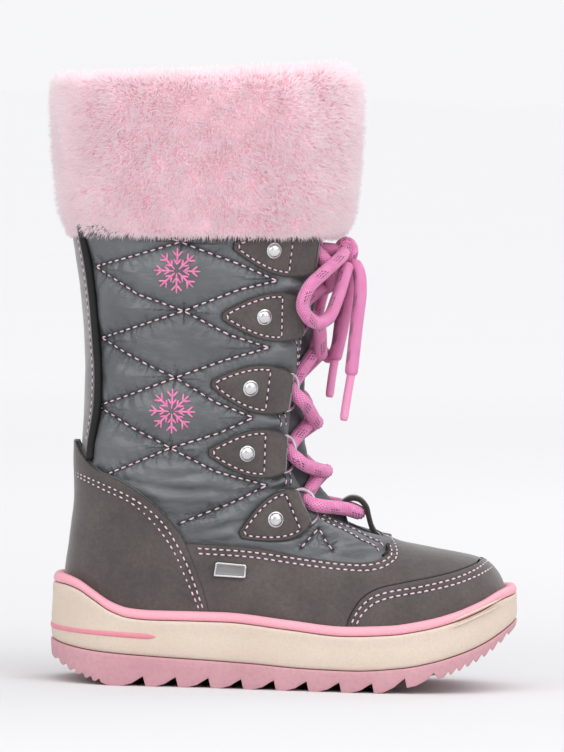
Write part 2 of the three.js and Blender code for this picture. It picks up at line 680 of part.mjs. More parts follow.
const boot = new THREE.Group();
boot.add(piece("upper", makeUpper(), "nylon"));
boot.add(piece("tongue", makeTongue(), "darkNylon"));
boot.add(piece("insole", makeInsole(), "insoleFelt"));
boot.add(piece("heel_counter", makeHeelCounter(), "suede"));
boot.add(piece("vamp", makeVamp(), "suede"));
boot.add(piece("toe_cap", makeToeCap(), "suede"));
boot.add(piece("backstay", makeBackstay(), "suede"));
boot.add(piece("fur_cuff", makeCuff(), "fur"));
tabs.forEach((tab, i) =>
  [outer, inner].forEach((side) => {
    const label = `${side === outer ? "outer" : "inner"}_${i + 1}`;
    boot.add(piece(`lace_tab_${label}`, makeTab(tab, side), "suede"));
    boot.add(piece(`lace_ring_${label}`, makeRing(tab, side), "steel"));
    boot.add(piece(`rivet_${label}`, makeRivet(tab, side), "steel"));
  }),
);
tabs.slice(1).forEach((tab, i) => {
  boot.add(piece(`lace_crossing_${i + 1}`, makeCrossing(tabs[i], tab), "lace"));
});

// The sole
const bottomOf = (points, rise = 0) => (x) => curveAt(points, x) + rise;
function makeWeltBand() {
  const levels = [[0, 0.6], [0.5, 1.5], [1, 0.6]];
  return soleSolid(bottomOf(randTop, -randHeight), bottomOf(randTop), levels).subtract(cupForm);
}

function makeMidsole() {
  const levels = [[0, 0.4], [0.92, 0.4], [0.93, -1.1], [1, -1.1]];
  const block = soleSolid(bottomOf(outsoleTop, gap), bottomOf(randTop, -randHeight - gap), levels);
  return block.subtract(cupForm.intersect(above(footbed)));
}

function makeOutsole() {
  const block = soleSolid(bottomOf(treadLine), bottomOf(outsoleTop), [[0, 0], [1, 0.7]]);
  const grooves = [];
  const firstTooth = -76.8;
  const teeth = 10;
  const lanes = [[-farSide, -13, 0], [-13, 13, 0.5], [13, farSide, 0]];
  for (const [yFrom, yTo, shift] of lanes)
    for (let i = 0; i < teeth; i++) {
      const x = firstTooth + (i + shift) * toothPitch;
      const ground = (dx, dz) => [x + dx, curveAt(treadLine, x + dx) + dz];
      const rise = [ground(5.4, 0), ground(10, 1.3), ground(13.4, 3.6), ground(toothPitch, toothDepth)];
      const groove = [ground(5.4, -3), ...rise, ground(toothPitch + 0.4, -3)];
      grooves.push(sidePrism(groove, yFrom, yTo));
    }
  const fine = (from, count) => {
    for (let i = 0; i < count; i++) {
      const x = from + i * fineToothPitch;
      const ground = (dx, dz) => [x + dx, curveAt(treadLine, x + dx) + dz];
      grooves.push(sidePrism([ground(0.6, -1), ground(2.6, fineToothDepth), ground(3.5, -1)]));
    }
  };
  fine(-104, 6);
  fine(77.5, 8);
  const channels = [-13, 13].map((y) => {
    const channel = new THREE.BoxGeometry(140, 3, 2 * toothDepth);
    channel.translate(-2, y, 0);
    return solidFrom(channel);
  });
  return block.subtract(wasm.Manifold.union([...grooves, ...channels]));
}

function makeBadge() {
  const corners = [[-29.7, 52.2], [-15.6, 51.6], [-15.3, 57], [-28.9, 58]];
  const seat = gap + vampSkin + gap;
  const plate = lastSolid(seat + 1.5).subtract(lastSolid(seat));
  return plate.intersect(sidePrism(corners, -farSide, 0));
}

// The lowest bar of the lace, which runs through the keeper at the foot of the tongue
function makeLowestBar() {
  const [x, z] = [37.6, 80.9];
  const [outerEnd, innerEnd] = [outer, inner].map((side) => armEnd(tabs.at(-1), side, -1).toArray());
  const outerHalf = [outerEnd, [x - 6, outer * 9, z + 2], [x, outer * 4, z]];
  const innerHalf = [[x, inner * 4, z], [x - 6, inner * 9, z + 2], innerEnd];
  return cord([...outerHalf, ...innerHalf], laceRadius, 6, 9);
}

// The keeper: a leather loop that stands at the foot of the throat, round the lowest bar
function makeKeeper() {
  const outside = [[44.6, 72], [43.8, 83.2], [39, 87.6], [33.6, 87.6], [28.4, 85]];
  const inside = [[29.4, 83.6], [34.2, 85.8], [38.2, 85.8], [41.9, 82.2], [42.6, 72]];
  return sidePrism([...outside, ...inside], -keeperHalf, keeperHalf).subtract(lastSolid(keeperSeat));
}

// The bow. Each cord is a list of points that it passes through: the rib, the distance to the inner
// side from the boot's middle, and the distance from the shaft's surface.
const knotPlace = [2.3, 0, 10.2];
const bowCords = {
  bow_loop_outer: {
    points: [
      [2.3, -4.7, 10.4], [2.4, -12, 11], [2.65, -19.5, 9.6], [2.95, -25, 8.8], [3.25, -25.6, 8.8],
      [3.48, -20.8, 9.6], [3.42, -15.5, 11.4], [3.08, -12, 12.6], [2.7, -9, 13.2], [2.5, -5.2, 13.2],
    ],
    steps: 13,
  },
  bow_loop_inner: {
    points: [
      [2.3, 4.9, 10.4], [2.5, 12, 11.6], [3, 19, 11.2], [3.6, 20, 11.8], [4, 17, 13], [4.15, 12.5, 14.6],
      [4, 9.6, 15.6], [3.5, 9.2, 15.6], [2.9, 8.6, 14.6], [2.5, 5.4, 12.6],
    ],
    steps: 13,
  },
  lace_end_outer: {
    points: [
      [2.44, -2.4, 14.8], [2.6, -4.2, 18.4], [2.9, -5.4, 20.8], [3.5, -6, 21.8], [4.46, -6, 22.4],
    ],
    steps: 7,
  },
  lace_end_inner: {
    points: [[2.6, 2.4, 13.8], [2.9, 3.2, 15.6], [3.5, 3.4, 15], [4.2, 3.6, 13.6]],
    steps: 6,
  },
};
const bowRadius = 2.3;
const aglets = {
  aglet_outer: [[4.5, -6, 22.4], [5.6, -5.6, 20]],
  aglet_inner: [[4.24, 3.6, 13.5], [5.05, 3.7, 12.6]],
};
const agletRadius = 2;

function bowPoint([v, sideways, distance]) {
  return offsetPoint(v, turnAt(v, sideways), distance).toArray();
}

function makeKnot() {
  const ball = new THREE.SphereGeometry(1, 8, 6);
  ball.scale(3.6, 5.1, 5);
  ball.translate(...bowPoint(knotPlace));
  return solidFrom(ball);
}

boot.add(piece("lace_lowest_bar", makeLowestBar(), "lace"));
boot.add(piece("lace_keeper", makeKeeper(), "suede"));
boot.add(piece("lace_knot", makeKnot(), "lace"));
for (const [name, { points, steps }] of Object.entries(bowCords))
  boot.add(piece(name, cord(points.map(bowPoint), bowRadius, 8, steps), "lace"));
for (const [name, points] of Object.entries(aglets))
  boot.add(piece(name, cord(points.map(bowPoint), agletRadius, 8, 1), "tip"));

boot.add(piece("welt_band", makeWeltBand(), "pinkRubber"));
boot.add(piece("midsole", makeMidsole(), "cream"));
boot.add(piece("outsole", makeOutsole(), "lugRubber"));
boot.add(piece("badge_plate", makeBadge(), "pinkRubber"));

export default boot;
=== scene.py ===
import math

import bpy
import numpy as np
from mathutils import Matrix, Vector


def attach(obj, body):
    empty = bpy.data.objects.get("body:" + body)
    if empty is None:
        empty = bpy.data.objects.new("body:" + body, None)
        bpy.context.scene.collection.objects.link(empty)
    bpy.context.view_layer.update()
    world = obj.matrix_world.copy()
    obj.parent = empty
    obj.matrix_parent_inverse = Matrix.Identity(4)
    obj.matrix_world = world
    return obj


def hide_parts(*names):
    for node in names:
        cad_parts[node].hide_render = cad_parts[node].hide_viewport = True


# Looks of a child's tall quilted snow boot. All shapes are worked out in millimetres in the frame of
# the CAD model, and become metres when a mesh is made.
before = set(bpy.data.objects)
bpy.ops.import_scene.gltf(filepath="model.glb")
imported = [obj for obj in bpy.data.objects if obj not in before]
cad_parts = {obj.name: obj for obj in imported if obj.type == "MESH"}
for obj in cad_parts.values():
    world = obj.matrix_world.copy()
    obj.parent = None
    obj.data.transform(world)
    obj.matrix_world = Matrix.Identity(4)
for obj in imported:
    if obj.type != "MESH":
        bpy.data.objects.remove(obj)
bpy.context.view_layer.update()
outerSide, innerSide = -1, 1  # the outer side faces the camera, towards -Y
bothSides = (outerSide, innerSide)

# Camera
cameraPlan = dict(
    target=(-0.7, 0, 144.3),
    distance=3600,
    elevation=2.6,  # degrees above the horizon
    roll=1.5,  # the photo's ground falls a little to the right
    viewHeight=352.4,  # millimetres that the picture covers from top to bottom
)


def makeCamera(plan):
    camera = bpy.data.objects.new("camera", bpy.data.cameras.new("camera"))
    bpy.context.collection.objects.link(camera)
    tilt = math.radians(plan["elevation"])
    back = Vector((0, -math.cos(tilt), math.sin(tilt)))
    camera.location = (Vector(plan["target"]) + back * plan["distance"]) * 0.001
    turned = (-back).to_track_quat("-Z", "Y").to_matrix() @ Matrix.Rotation(
        math.radians(plan["roll"]), 3, "Z",
    )
    camera.rotation_euler = turned.to_euler()
    camera.data.sensor_width = 36
    camera.data.lens = 36 * plan["distance"] / plan["viewHeight"]
    camera.data.clip_end = 60
    bpy.context.scene.camera = camera


makeCamera(cameraPlan)
print("camera ready")

# The boot's form: ovals on lines from the front, or top, to the back, or bottom, from above the
# collar to beyond the tip of the toe
ribColumns = "frontX frontZ backX backZ midY half widest frontPower backPower".split()
ribRows = np.array([
    [23.5, 314, -108.5, 312, 0, 43.5, 0.5, 2.1, 2.1],
    [22, 280, -106.5, 279, 0, 43, 0.5, 2.1, 2.1],  # collar
    [20.5, 247, -104, 244, 0, 42.5, 0.5, 2.1, 2.1],
    [18, 213.5, -99.5, 211, 0, 41.5, 0.5, 2.1, 2.1],  # lower edge of the cuff
    [14.5, 186, -95, 185, 0, 40, 0.5, 2.1, 2.1],
    [11, 158, -92, 157, 0, 38, 0.5, 2.1, 2.1],
    [9.5, 136, -91.5, 133, 0, 36.5, 0.51, 2.1, 2.1],
    [10, 117, -92, 111, 0, 35, 0.53, 2.1, 2.1],  # ankle
    [12.5, 104, -93.5, 88, 0, 33.8, 0.58, 2.15, 2.2],
    [17, 94.5, -95.8, 66, 0, 32.4, 0.64, 2.2, 2.3],
    [23.4, 87, -97, 42, 0, 31.2, 0.69, 2.25, 2.4],  # heel
    [31, 80.8, -88, 8, 0, 30.6, 0.64, 2.25, 2.4],
    [40, 74, -42, -10, 0.2, 32.5, 0.54, 2.2, 2.3],  # waist
    [51, 68.5, 2, -11, 0.8, 36.5, 0.48, 2.2, 2.3],
    [62.5, 65.2, 34, -11, 1.8, 39.6, 0.45, 2.3, 2.3],  # ball
    [80.5, 62.2, 66, -8, 3.2, 37.4, 0.45, 2.4, 2.3],
    [93.5, 59.4, 88, -2, 4.4, 29.6, 0.45, 2.5, 2.3],
    [101.3, 53, 100, 10, 5.2, 17, 0.45, 2.4, 2.3],
    [104.2, 44, 104.4, 28, 5.6, 0, 0.45, 2.3, 2.3],  # tip of the toe
    [101.3, 35, 100, 46, 5.2, -17, 0.45, 2.3, 2.3],
])
toeTip = len(ribRows) - 3


# The rib at v, counted from the collar: a Catmull-Rom curve through each column of the table
def ribAt(v):
    v = np.asarray(v, float)
    i = np.clip(np.floor(v).astype(int), 0, len(ribRows) - 4)
    t = (v - i)[..., None]
    a, b, c, d = ribRows[i], ribRows[i + 1], ribRows[i + 2], ribRows[i + 3]
    mixed = b + 0.5 * t * (c - a + t * (2 * a - 5 * b + 4 * c - d + t * (3 * (b - c) + d - a)))
    return {name: mixed[..., k] for k, name in enumerate(ribColumns)}


def signedPower(value, power):
    return np.sign(value) * np.abs(value) ** power


# A point of the form: sideways by the sine of the turn, and along the rib's line by its cosine, both
# raised to two over the oval's power. turn is 0 in front and grows over the outer side.
def surfaceAt(v, turn):
    r = ribAt(v)
    c, s = np.cos(turn), np.sin(turn)
    power = 2 / np.where(c >= 0, r["frontPower"], r["backPower"])
    t = r["widest"] - signedPower(c, power) * np.where(c >= 0, r["widest"], 1 - r["widest"])
    x = r["frontX"] + (r["backX"] - r["frontX"]) * t
    z = r["frontZ"] + (r["backZ"] - r["frontZ"]) * t
    y = r["midY"] - r["half"] * signedPower(s, power)
    return np.stack(np.broadcast_arrays(x, y, z), -1)


def unit(vectors):
    return vectors / np.maximum(np.linalg.norm(vectors, axis=-1, keepdims=True), 1e-12)


# The outward direction: the way across times the way down, from small steps of both
def normalAt(v, turn, step=0.03):
    v, turn = np.broadcast_arrays(np.asarray(v, float), np.asarray(turn, float))
    across = surfaceAt(v, turn + step) - surfaceAt(v, turn - step)
    down = surfaceAt(v + step, turn) - surfaceAt(v - step, turn)
    return unit(np.cross(across, down))


def offsetAt(v, turn, distance):
    return surfaceAt(v, turn) + normalAt(v, turn) * np.asarray(distance, float)[..., None]


# The turn at which rib v is a distance to one side of the middle, in front
def turnAt(v, sideways):
    r = ribAt(v)
    share = np.minimum(1, np.abs(sideways) / np.maximum(r["half"], 1e-6))
    return -np.sign(sideways) * np.arcsin(share ** (r["frontPower"] / 2))


# The rib and turn of a place in the side view: halving finds the rib whose line passes through it,
# and its share of that line gives the cosine. Three rounds take off the distance from the form.
def seenFromSide(x, z, side, distance=0.0):
    x, z = np.broadcast_arrays(np.asarray(x, float), np.asarray(z, float))
    tx, tz = x.copy(), z.copy()
    for _ in range(3):
        low, high = np.zeros_like(tx), np.full_like(tx, toeTip)
        for _ in range(26):
            v = (low + high) / 2
            r = ribAt(v)
            dx, dz = r["backX"] - r["frontX"], r["backZ"] - r["frontZ"]
            above = dx * (tz - r["frontZ"]) - dz * (tx - r["frontX"]) < 0
            high, low = np.where(above, v, high), np.where(above, low, v)
        r = ribAt(low)
        dx, dz = r["backX"] - r["frontX"], r["backZ"] - r["frontZ"]
        t = ((tx - r["frontX"]) * dx + (tz - r["frontZ"]) * dz) / (dx * dx + dz * dz)
        front = t < r["widest"]
        along = np.where(front, 1 - t / r["widest"], -(t - r["widest"]) / (1 - r["widest"]))
        power = np.where(front, r["frontPower"], r["backPower"])
        turn = -side * np.arccos(signedPower(np.clip(along, -1, 1), power / 2))
        n = normalAt(low, turn)
        tx, tz = x - n[..., 0] * distance, z - n[..., 2] * distance
    return low, turn


def smoothstep(value, low, high):
    t = np.clip((value - low) / (high - low), 0, 1)
    return t * t * (3 - 2 * t)


# Shares of a cubic piece's start, its slope there, its end and the slope there
def cubicShares(t):
    return 2 * t**3 - 3 * t**2 + 1, t**3 - 2 * t**2 + t, 3 * t**2 - 2 * t**3, t**3 - t**2


# A smooth curve through points with rising x, which never swings beyond them: cubic pieces whose
# slopes are the harmonic mean of the straight slopes on both sides, or none at a turn
def curveAt(points, x):
    points = np.asarray(points, float)
    px, py = points[:, 0], points[:, 1]
    secant = np.diff(py) / np.diff(px)
    before, after = np.concatenate([secant[:1], secant]), np.concatenate([secant, secant[-1:]])
    both = before * after
    slope = np.where(both > 0, 2 * both / np.where(both > 0, before + after, 1), 0)
    i = np.clip(np.searchsorted(px, x, side="right") - 1, 0, len(px) - 2)
    h = px[i + 1] - px[i]
    t = np.clip((x - px[i]) / h, 0, 1)
    a, b, c, d = cubicShares(t)
    return a * py[i] + b * h * slope[i] + c * py[i + 1] + d * h * slope[i + 1]


# A wavy value for each point: the mean of plane waves with random directions, of about the wave
# length given
def waves(points, length, seed, count=14):
    local = np.random.default_rng(seed)
    ways = unit(local.normal(size=(count, 3))) * 2 * np.pi / (length * local.uniform(0.7, 1.5, (count, 1)))
    return np.sin(points @ ways.T + local.uniform(0, 2 * np.pi, count)).mean(-1) * 2


# The length run from the first point to each of a line of points
def runAlong(points):
    return np.concatenate([[0], np.cumsum(np.linalg.norm(np.diff(points, axis=0), axis=1))])


# Evenly spaced points along a line through points, with straight runs between them
def straightPath(points, spacing):
    points = np.asarray(points, float)
    run = runAlong(points)
    at = np.linspace(0, run[-1], max(2, int(round(run[-1] / spacing)) + 1))
    return np.stack([np.interp(at, run, points[:, k]) for k in range(points.shape[1])], -1)


# Evenly spaced points on the smooth curve through points, a centripetal Catmull-Rom curve: each
# stretch is a cubic whose end slopes follow from its neighbours, weighed by the root of the distances
def smoothPath(points, spacing=None, count=None, loop=False):
    p = np.asarray(points, float)
    if loop:
        p = np.concatenate([p[-1:], p, p[:2]])
    else:
        p = np.concatenate([2 * p[:1] - p[1:2], p, 2 * p[-1:] - p[-2:-1]])
    p0, p1, p2, p3 = p[:-3], p[1:-2], p[2:-1], p[3:]
    d0, d1, d2 = np.maximum(np.linalg.norm([p0 - p1, p1 - p2, p2 - p3], axis=2, keepdims=True) ** 0.5, 1e-6)
    m1 = ((p1 - p0) / d0 - (p2 - p0) / (d0 + d1) + (p2 - p1) / d1) * d1
    m2 = ((p2 - p1) / d1 - (p3 - p1) / (d1 + d2) + (p3 - p2) / d2) * d1
    t = np.linspace(0, 1, 33)[:-1, None, None]
    a, b, c, d = cubicShares(t)
    fine = a * p1 + b * m1 + c * p2 + d * m2
    fine = np.concatenate([fine.transpose(1, 0, 2).reshape(-1, p.shape[1]), p2[-1:]])
    if count is None:
        return straightPath(fine, spacing)
    return straightPath(fine, runAlong(fine)[-1] / (count - 1))


# Steps from each point of a path to the nearer of its ends
def fromEnds(count):
    return np.minimum(np.arange(count), np.arange(count)[::-1])


def tangentsOf(path, loop=False):
    if loop:
        return unit(np.roll(path, -1, 0) - np.roll(path, 1, 0))
    return unit(np.gradient(path, axis=0))


# Meshes
materials = {}


# A mesh object from points in millimetres and lists of faces, each an array with one row of corners
# for each face. flow gives a UV pair for every corner of the first list.
def makePiece(name, points, faceLists, material, replaced=(), flow=None, smooth=True, attributes=None):
    faceLists = [np.asarray(faces) for faces in faceLists if len(faces)]
    corners = np.concatenate([faces.ravel() for faces in faceLists])
    used, corners = np.unique(corners, return_inverse=True)
    sizes = np.concatenate([np.full(len(faces), faces.shape[1]) for faces in faceLists])
    mesh = bpy.data.meshes.new(name)
    mesh.vertices.add(len(used))
    mesh.vertices.foreach_set("co", (points[used] * 0.001).astype(np.float32).ravel())
    mesh.loops.add(len(corners))
    mesh.loops.foreach_set("vertex_index", corners.astype(np.int32))
    mesh.polygons.add(len(sizes))
    mesh.polygons.foreach_set("loop_start", np.concatenate([[0], np.cumsum(sizes)[:-1]]).astype(np.int32))
    mesh.update(calc_edges=True)
    if flow is not None:
        uv = np.zeros((len(corners), 2), np.float32)
        uv[: len(flow)] = flow
        mesh.uv_layers.new(name="flow").data.foreach_set("uv", uv.ravel())
    for key, values in (attributes or {}).items():
        layer = mesh.attributes.new(key, "FLOAT", "POINT")
        layer.data.foreach_set("value", np.asarray(values, np.float32)[used])
    if smooth:
        mesh.polygons.foreach_set("use_smooth", np.ones(len(sizes), bool))
    mesh.materials.append(materials[material])
    piece = bpy.data.objects.new(name, mesh)
    bpy.context.collection.objects.link(piece)
    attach(piece, "root")
    if replaced:
        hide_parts(*([replaced] if isinstance(replaced, str) else replaced))
    return piece


# The four corners of every cell of a grid of points, row by row
def gridCells(rows, columns, loopColumns=False, loopRows=False):
    i, j = np.meshgrid(
        np.arange(rows - (not loopRows)), np.arange(columns - (not loopColumns)), indexing="ij",
    )
    corners = ((0, 0), (0, 1), (1, 1), (1, 0))
    return np.stack([(i + a) % rows * columns + (j + b) % columns for a, b in corners], -1)


# The edges that only one face has, in that face's order
def openEdges(faces):
    edges = np.stack([faces, np.roll(faces, -1, 1)], -1).transpose(1, 0, 2).reshape(-1, 2)
    many = int(faces.max()) + 1
    forward, backward = edges[:, 0] * many + edges[:, 1], edges[:, 1] * many + edges[:, 0]
    return edges[~np.isin(forward, backward)]


# A closed shell: the outside's faces, the same faces turned round on the inside, and a wall along
# every open edge
def shellFaces(faces, count):
    edges = openEdges(faces)
    wall = np.stack([edges[:, 1], edges[:, 0], edges[:, 0] + count, edges[:, 1] + count], -1)
    return np.concatenate([faces, faces[:, ::-1] + count, wall])


# Turns faces round where most of them look against the given outward directions
def facingOut(faces, points, outward):
    a, b, c = points[faces[:, 0]], points[faces[:, 1]], points[faces[:, 2]]
    agree = (np.cross(b - a, c - a) * outward[faces[:, 0]]).sum()
    return faces if agree >= 0 else faces[:, ::-1]


# A sheet with a thickness: a closed shell between the grids of its top and its underside. weld names
# the point that stands for each, and skipRow is a row of cells that stays open.
def makeShell(name, top, under, outward, material, node, attributes=None, weld=None, skipRow=None):
    cells = gridCells(*top.shape[:2])
    if skipRow is not None:
        cells = np.delete(cells, skipRow, 0)
    faces = cells.reshape(-1, 4)
    if weld is not None:
        faces = weld[faces]
    both = np.concatenate([top.reshape(-1, 3), under.reshape(-1, 3)])
    faces = facingOut(faces, both, outward.reshape(-1, 3))
    makePiece(name, both, [shellFaces(faces, top[..., 0].size)], material, node, attributes=attributes)


# A tube round a path. Each ring lies in the plane of two directions: one along the given sideways
# direction, taken square to the path, and one square to both. radius may be an array with a row for
# each point of the path and a column for each corner of the ring.
def tube(path, radius, sides, upward, loop=False):
    path = np.asarray(path, float)
    count = len(path)
    tangent = tangentsOf(path, loop)
    upward = np.broadcast_to(np.asarray(upward, float), path.shape)
    up = unit(upward - tangent * (upward * tangent).sum(-1, keepdims=True))
    side = np.cross(tangent, up)
    angle = 2 * np.pi * np.arange(sides) / sides
    if np.ndim(radius) == 1:
        radius = radius[:, None]
    radius = np.broadcast_to(radius, (count, sides))
    out = side[:, None] * np.cos(angle)[:, None] + up[:, None] * np.sin(angle)[:, None]
    points = (path[:, None] + out * radius[..., None]).reshape(-1, 3)
    cells = gridCells(count, sides, True, loop).reshape(-1, 4)
    run = runAlong(path)
    if loop:
        run = np.append(run, run[-1] + np.linalg.norm(path[0] - path[-1]))
    i, j = np.meshgrid(np.arange(len(run) - 1), np.arange(sides), indexing="ij")
    corners = ((1, 0), (1, 1), (0, 1), (0, 0))
    flow = np.stack([np.stack([run[i + a], (j + b) / sides], -1) for a, b in corners], -2).reshape(-1, 2)
    triangles = np.zeros((0, 3), int)
    if not loop:
        points = np.concatenate([points, path[:1], path[-1:]])
        ring = np.arange(sides)
        after = (ring + 1) % sides
        last = (count - 1) * sides
        start = np.stack([np.full(sides, count * sides), after, ring], -1)
        end = np.stack([np.full(sides, count * sides + 1), ring + last, after + last], -1)
        triangles = np.concatenate([start, end])
    return points, cells[:, ::-1], triangles[:, ::-1], flow


# Turns a closed mesh's faces round where its volume, summed over them from its middle, is below 0
def roundedOut(points, faces):
    p = points[faces[:, :3]] - points.mean(0)
    return faces if np.einsum("ij,ij->", p[:, 0], np.cross(p[:, 1], p[:, 2])) > 0 else faces[:, ::-1]


# Several tubes or shells as one mesh
def joined(parts):
    starts = np.cumsum([0] + [len(part[0]) for part in parts])
    quads = np.concatenate([part[1] + start for part, start in zip(parts, starts)])
    triangles = np.concatenate([part[2] + start for part, start in zip(parts, starts)])
    return np.concatenate(
        [part[0] for part in parts]
    ), quads, triangles, np.concatenate([part[3] for part in parts])


# Tubes or stitches as one piece, with their own UV map where the material needs the flow along them
def makeTubes(name, parts, material, nodes=(), flowing=False, attributes=None):
    points, quads, triangles, flow = joined(parts)
    flow = flow if flowing else None
    return makePiece(name, points, [quads, triangles], material, nodes, flow, attributes=attributes)


# Materials


class Nodes:
    def __init__(self, name):
        self.material = bpy.data.materials.new(name)
        self.material.use_nodes = True
        self.tree = self.material.node_tree
        self.shader = next(n for n in self.tree.nodes if n.type == "BSDF_PRINCIPLED")
        self.place = self.add("ShaderNodeTexCoord").outputs["Object"]
        materials[name] = self.material

    def add(self, kind, **settings):
        node = self.tree.nodes.new(kind)
        for key, value in settings.items():
            setattr(node, key, value)
        return node

    def wire(self, source, target):
        if isinstance(source, (int, float)):
            target.default_value = source
        elif isinstance(source, (tuple, list)):
            target.default_value = (*source, 1) if len(source) == 3 and len(
                target.default_value
            ) == 4 else source
        else:
            self.tree.links.new(source, target)

    def noise(self, scale, detail=2.0, rough=0.55, place=None, stretch=None):
        node = self.add("ShaderNodeTexNoise")
        node.inputs["Scale"].default_value = scale
        node.inputs["Detail"].default_value = detail
        node.inputs["Roughness"].default_value = rough
        source = place or self.place
        if stretch:
            mapping = self.add("ShaderNodeMapping")
            mapping.inputs["Scale"].default_value = stretch
            self.wire(source, mapping.inputs["Vector"])
            source = mapping.outputs["Vector"]
        self.wire(source, node.inputs["Vector"])
        return node.outputs["Fac"]

    def attribute(self, name):
        return self.add("ShaderNodeAttribute", attribute_name=name).outputs["Fac"]

    def math(self, operation, a, b=0.0, c=0.0):
        node = self.add("ShaderNodeMath", operation=operation)
        for source, target in zip((a, b, c), node.inputs):
            self.wire(source, target)
        return node.outputs[0]

    def times(self, a, b):
        return self.math("MULTIPLY", a, b)

    def plus(self, a, b):
        return self.math("ADD", a, b)

    def span(self, value, low, high, toLow=0.0, toHigh=1.0):
        node = self.add("ShaderNodeMapRange")
        for source, key in ((value, 0), (low, 1), (high, 2), (toLow, 3), (toHigh, 4)):
            self.wire(source, node.inputs[key])
        return node.outputs[0]

    def blendColors(self, factor, first, second, way="MIX"):
        node = self.add("ShaderNodeMix", data_type="RGBA", blend_type=way)
        self.wire(factor, node.inputs[0])
        self.wire(first, node.inputs[6])
        self.wire(second, node.inputs[7])
        return node.outputs[2]

    # bumps over each other, each a height, a strength and a distance
    def bumps(self, *layers):
        normal = None
        for layer in layers:
            node = self.add("ShaderNodeBump")
            for value, key in zip(layer, ("Height", "Strength", "Distance")):
                self.wire(value, node.inputs[key])
            if normal is not None:
                self.wire(normal, node.inputs["Normal"])
            normal = node.outputs["Normal"]
        return normal

    def finish(self, color, roughness, normal=None, **fixed):
        self.wire(color, self.shader.inputs["Base Color"])
        self.wire(roughness, self.shader.inputs["Roughness"])
        if normal is not None:
            self.wire(normal, self.shader.inputs["Normal"])
        for key, value in fixed.items():
            self.wire(value, self.shader.inputs[key.replace("_", " ")])


# A colour given as it looks on a screen, from 0 to 255, as linear light
def tone(r, g, b):
    return tuple(((c / 255 + 0.055) / 1.055) ** 2.4 if c > 10 else c / 255 / 12.92 for c in (r, g, b))


# Shiny woven nylon. Along its seams, runs of small gathers stand square to the thread and fade with the
# distance from it, and their troughs are darkened with painted shade.
def makeNylon(name, light, dark):
    n = Nodes(name)
    wrinkle = n.noise(95, 3, 0.6, stretch=(1, 1, 1.9))
    fine = n.noise(420, 2, 0.6, stretch=(1, 1, 2.2))
    fade = n.math("EXPONENT", n.times(n.attribute("away"), -1 / 2.2))
    phase = n.plus(n.times(n.attribute("run"), 2 * math.pi / 3.4), n.times(n.noise(210, 2), 12.0))
    gather = n.times(n.math("SINE", phase), fade)
    mottle = n.noise(28, 3, 0.6)
    color = n.blendColors(n.span(mottle, 0.3, 0.7), dark, light)
    # painted shade in the troughs of the gathers
    color = n.blendColors(n.span(gather, 0.05, 0.8, 0.0, 0.34), color, tone(40, 39, 42))
    # painted shade: the nylon is darkened along each seam, standing in for the shade in the stitched groove
    color = n.blendColors(n.attribute("seamShade"), color, tone(20, 19, 21))
    normal = n.bumps((wrinkle, 0.42, 0.0018), (fine, 0.2, 0.0005), (gather, 0.6, 0.0006))
    rough = n.span(n.noise(60, 2), 0.3, 0.7, 0.4, 0.52)
    n.finish(color, rough, normal, Metallic=0.45, Specular_IOR_Level=0.5)


def makeSuede(name, light, dark):
    n = Nodes(name)
    cloud = n.noise(38, 4, 0.62)
    grain = n.noise(620, 3, 0.65)
    nap = n.noise(1900, 2, 0.6)
    color = n.blendColors(n.span(cloud, 0.32, 0.68), dark, light)
    color = n.blendColors(n.span(grain, 0.35, 0.75, 0.0, 0.34), color, tone(58, 54, 51))
    # the edge attribute darkens the cut edges, partly their own dark colour and partly painted shade beside
    # them, and lays painted shade in the stitch grooves
    color = n.blendColors(n.attribute("edge"), color, tone(30, 28, 27))
    normal = n.bumps((cloud, 0.12, 0.0012), (grain, 0.35, 0.00035), (nap, 0.25, 0.00012))
    rough = n.span(grain, 0.3, 0.7, 0.72, 0.92)
    n.finish(color, rough, normal, Sheen_Weight=0.45, Sheen_Roughness=0.42, Specular_IOR_Level=0.3)


def makeRubber(name, light, dark, grit, gritDepth, rough):
    n = Nodes(name)
    cloud = n.noise(22, 3, 0.55)
    fine = n.noise(grit, 2, 0.6)
    color = n.blendColors(n.span(cloud, 0.3, 0.7), dark, light)
    color = n.blendColors(n.span(fine, 0.45, 0.8, 0.0, 0.22), color, tuple(c * 0.62 for c in dark))
    normal = n.bumps((cloud, 0.06, 0.001), (fine, 0.4, gritDepth))
    n.finish(color, n.span(fine, 0.3, 0.7, rough - 0.08, rough + 0.08), normal, Specular_IOR_Level=0.4)


# Plush: paler towards the tips, with deeper patches, and a painted glow: the fur emits its own colour,
# standing in for light
def makeFur():
    n = Nodes("fur")
    patch = n.noise(38, 3, 0.6)
    lock = n.noise(260, 2, 0.6)
    color = n.blendColors(n.span(patch, 0.36, 0.64), tone(229, 182, 195), tone(246, 213, 222))
    color = n.blendColors(n.span(lock, 0.35, 0.7, 0.0, 0.45), color, tone(218, 171, 184))
    color = n.blendColors(n.times(n.attribute("tip"), 0.85), color, tone(255, 242, 246))
    # painted glow: the fur's colour is emitted to brighten it as light would
    n.wire(color, n.shader.inputs["Emission Color"])
    n.finish(color, 0.8, None, Specular_IOR_Level=0.1, Emission_Strength=0.18)


